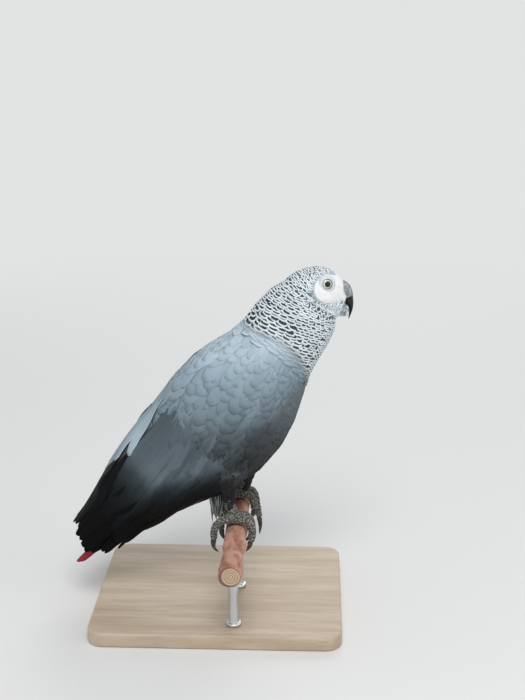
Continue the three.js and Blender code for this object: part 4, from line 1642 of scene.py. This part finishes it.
for vert in bm.verts:
    y = vert.co.z / MM
    x, z = vert.co.x, -vert.co.y
    vert.co = bird(0, y, -branch_radius(y)) + Vector((x, 0, z))
branch_mesh = mesh_of(bm, "branch")
paint(branch_mesh, "swell", bark_depth, "FLOAT")

# %% [markdown]
# The bark is thin and flakes in blotches drawn out along the branch. It is dotted with
# lenticels, the pores of the bark, and rubbed paler on its swellings. The sawn ends
# show rings round the pith, which come from the distance to it.

# %% Bark and sawn ends
bark, tree, shader = material("bark", 0.85)
own = add(tree, "ShaderNodeTexCoord").outputs["Object"]
stretched = drawn_out(tree, 1, 0.4, 1)
blotch = step(tree, pattern(tree, 110, 5, 0.62, stretched), 0.38, 0.62)
colour = mixed(tree, blotch, (0.33, 0.14, 0.098, 1), (0.57, 0.305, 0.228, 1))
flakes = step(tree, pattern(tree, 330, 5, 0.7, stretched), 0.56, 0.70)
colour = mixed(tree, maths(tree, "MULTIPLY", flakes, 0.65), colour, (0.66, 0.43, 0.335, 1))
pits = pattern(tree, 330, where=drawn_out(tree, 1, 2.4, 1), kind="ShaderNodeTexVoronoi")
lenticel = maths(tree, "SUBTRACT", 1.0, step(tree, pits, 0.10, 0.24))
colour = mixed(tree, maths(tree, "MULTIPLY", lenticel, 0.6), colour, (0.21, 0.10, 0.09, 1))
worn = step(tree, stored(tree, "swell"), 0.5, 1.6)
colour = mixed(tree, maths(tree, "MULTIPLY", worn, 0.5), colour, (0.67, 0.44, 0.335, 1))
along_y = add(tree, "ShaderNodeSeparateXYZ", {"Vector": own}).outputs["Y"]
sawn = maths(tree, "ADD", step(tree, along_y, PERCH_HIGH.y - 0.0003, PERCH_HIGH.y - 0.0001),
             maths(tree, "SUBTRACT", 1.0, step(tree, along_y, PERCH_LOW.y + 0.0001, PERCH_LOW.y + 0.0003)))
centred = add(tree, "ShaderNodeMapping", {"Vector": own, "Location": tuple(-bird(0.6, 0, -8.9)),
                                          "Scale": (1, 0, 1)}).outputs["Vector"]
from_pith = add(tree, "ShaderNodeVectorMath", {0: centred}, operation="LENGTH").outputs["Value"]
wobble = maths(tree, "MULTIPLY", pattern(tree, 160, 2), 0.0016)
year = maths(tree, "SINE", maths(tree, "MULTIPLY", maths(tree, "ADD", from_pith, wobble), 3400.0))
wood = mixed(tree, step(tree, year, -0.6, 0.9), (0.60, 0.46, 0.33, 1), (0.36, 0.23, 0.14, 1))
under_bark = step(tree, from_pith, 0.0069, 0.0075)
wood = mixed(tree, under_bark, wood, (0.20, 0.11, 0.09, 1))
rough_bark = maths(tree, "ADD", pattern(tree, 520, 6, 0.65, stretched),
                   maths(tree, "MULTIPLY", lenticel, -0.6))
dress(tree, shader, mixed(tree, sawn, colour, wood), rough_bark, 0.0005, 0.7)
print("branch, mm long:", round(HIGH_END - LOW_END), "points:", len(branch_mesh.vertices))
branch = link("branch", branch_mesh, bark)
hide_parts("perch")

# %% [markdown]
# ## Display stand
#
# A flat wooden base and two thin steel rods, plain so that the bird is what is seen.
# The base is a block with its corners rounded and its upper edge softened by bevels.

# %% Base
base_low, base_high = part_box("stand_base")
bm = bmesh.new()
bmesh.ops.create_cube(bm, size=1)
size = base_high - base_low
bmesh.ops.scale(bm, vec=size, verts=bm.verts[:])
bmesh.ops.translate(bm, vec=(base_low + base_high) / 2, verts=bm.verts[:])
upright = [edge for edge in bm.edges if abs(edge.verts[0].co.z - edge.verts[1].co.z) > size.z / 2]
bmesh.ops.bevel(bm, geom=upright, offset=14 * MM, segments=10, profile=0.5, affect="EDGES", material=-1)
level = [edge for edge in bm.edges if abs(edge.verts[0].co.z - edge.verts[1].co.z) < 1e-6
         and any(abs(face.normal.z) > 0.9 for face in edge.link_faces)]
bmesh.ops.bevel(bm, geom=level, offset=1.8 * MM, segments=4, profile=0.5, affect="EDGES", material=-1)
base_mesh = mesh_of(bm, "base", smooth=False)
base_look, tree, shader = material("base_wood", 0.5, Coat_Weight=0.12, Coat_Roughness=0.4)
grain = drawn_out(tree, 0.09, 1.0, 0.5)
bands = pattern(tree, 95, 4, 0.6, grain)
fine_grain = pattern(tree, 900, 3, 0.6, grain)
colour = mixed(tree, step(tree, bands, 0.3, 0.7), (0.60, 0.50, 0.38, 1), (0.46, 0.36, 0.25, 1))
colour = mixed(tree, maths(tree, "MULTIPLY", step(tree, fine_grain, 0.5, 0.75), 0.45), colour,
               (0.34, 0.25, 0.17, 1))
dress(tree, shader, colour, fine_grain, 0.0002, 0.3)
print("base, mm:", [round(v / MM, 1) for v in size])
base = link("base", base_mesh, base_look)
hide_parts("stand_base")

# %% Rods
steel, tree, shader = material("brushed_steel", 0.32, Metallic=1.0)
lines = pattern(tree, 500, 2, 0.5, drawn_out(tree, 1, 1, 14))
colour = mixed(tree, lines, (0.50, 0.51, 0.52, 1), (0.66, 0.67, 0.68, 1))
dress(tree, shader, colour, lines, 0.00006, 0.4)
for name in ["stand_rod_1", "stand_rod_2"]:
    low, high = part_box(name)
    middle = (low + high) / 2
    radius, length = (high.x - low.x) / 2, high.z - low.z
    collar = radius + 2.2 * MM
    profile = [(0, 0), (collar - 0.4 * MM, 0), (collar, 0.4 * MM), (collar, 2.2 * MM),
               (collar - 0.5 * MM, 2.9 * MM), (radius + 0.3 * MM, 3.1 * MM), (radius, 3.6 * MM),
               (radius, length / 2), (radius, length), (0, length)]
    bm = turned(profile, 48)
    bmesh.ops.translate(bm, vec=(middle.x, middle.y, low.z - 0.3 * MM), verts=bm.verts[:])
    rod = link(f"{name}_turned", mesh_of(bm, name, smooth=False), steel)
    rod.data.polygons.foreach_set("use_smooth", [abs(p.normal.z) < 0.5 for p in rod.data.polygons])
    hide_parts(name)
    print(name, "height, mm:", round(length / MM, 1))
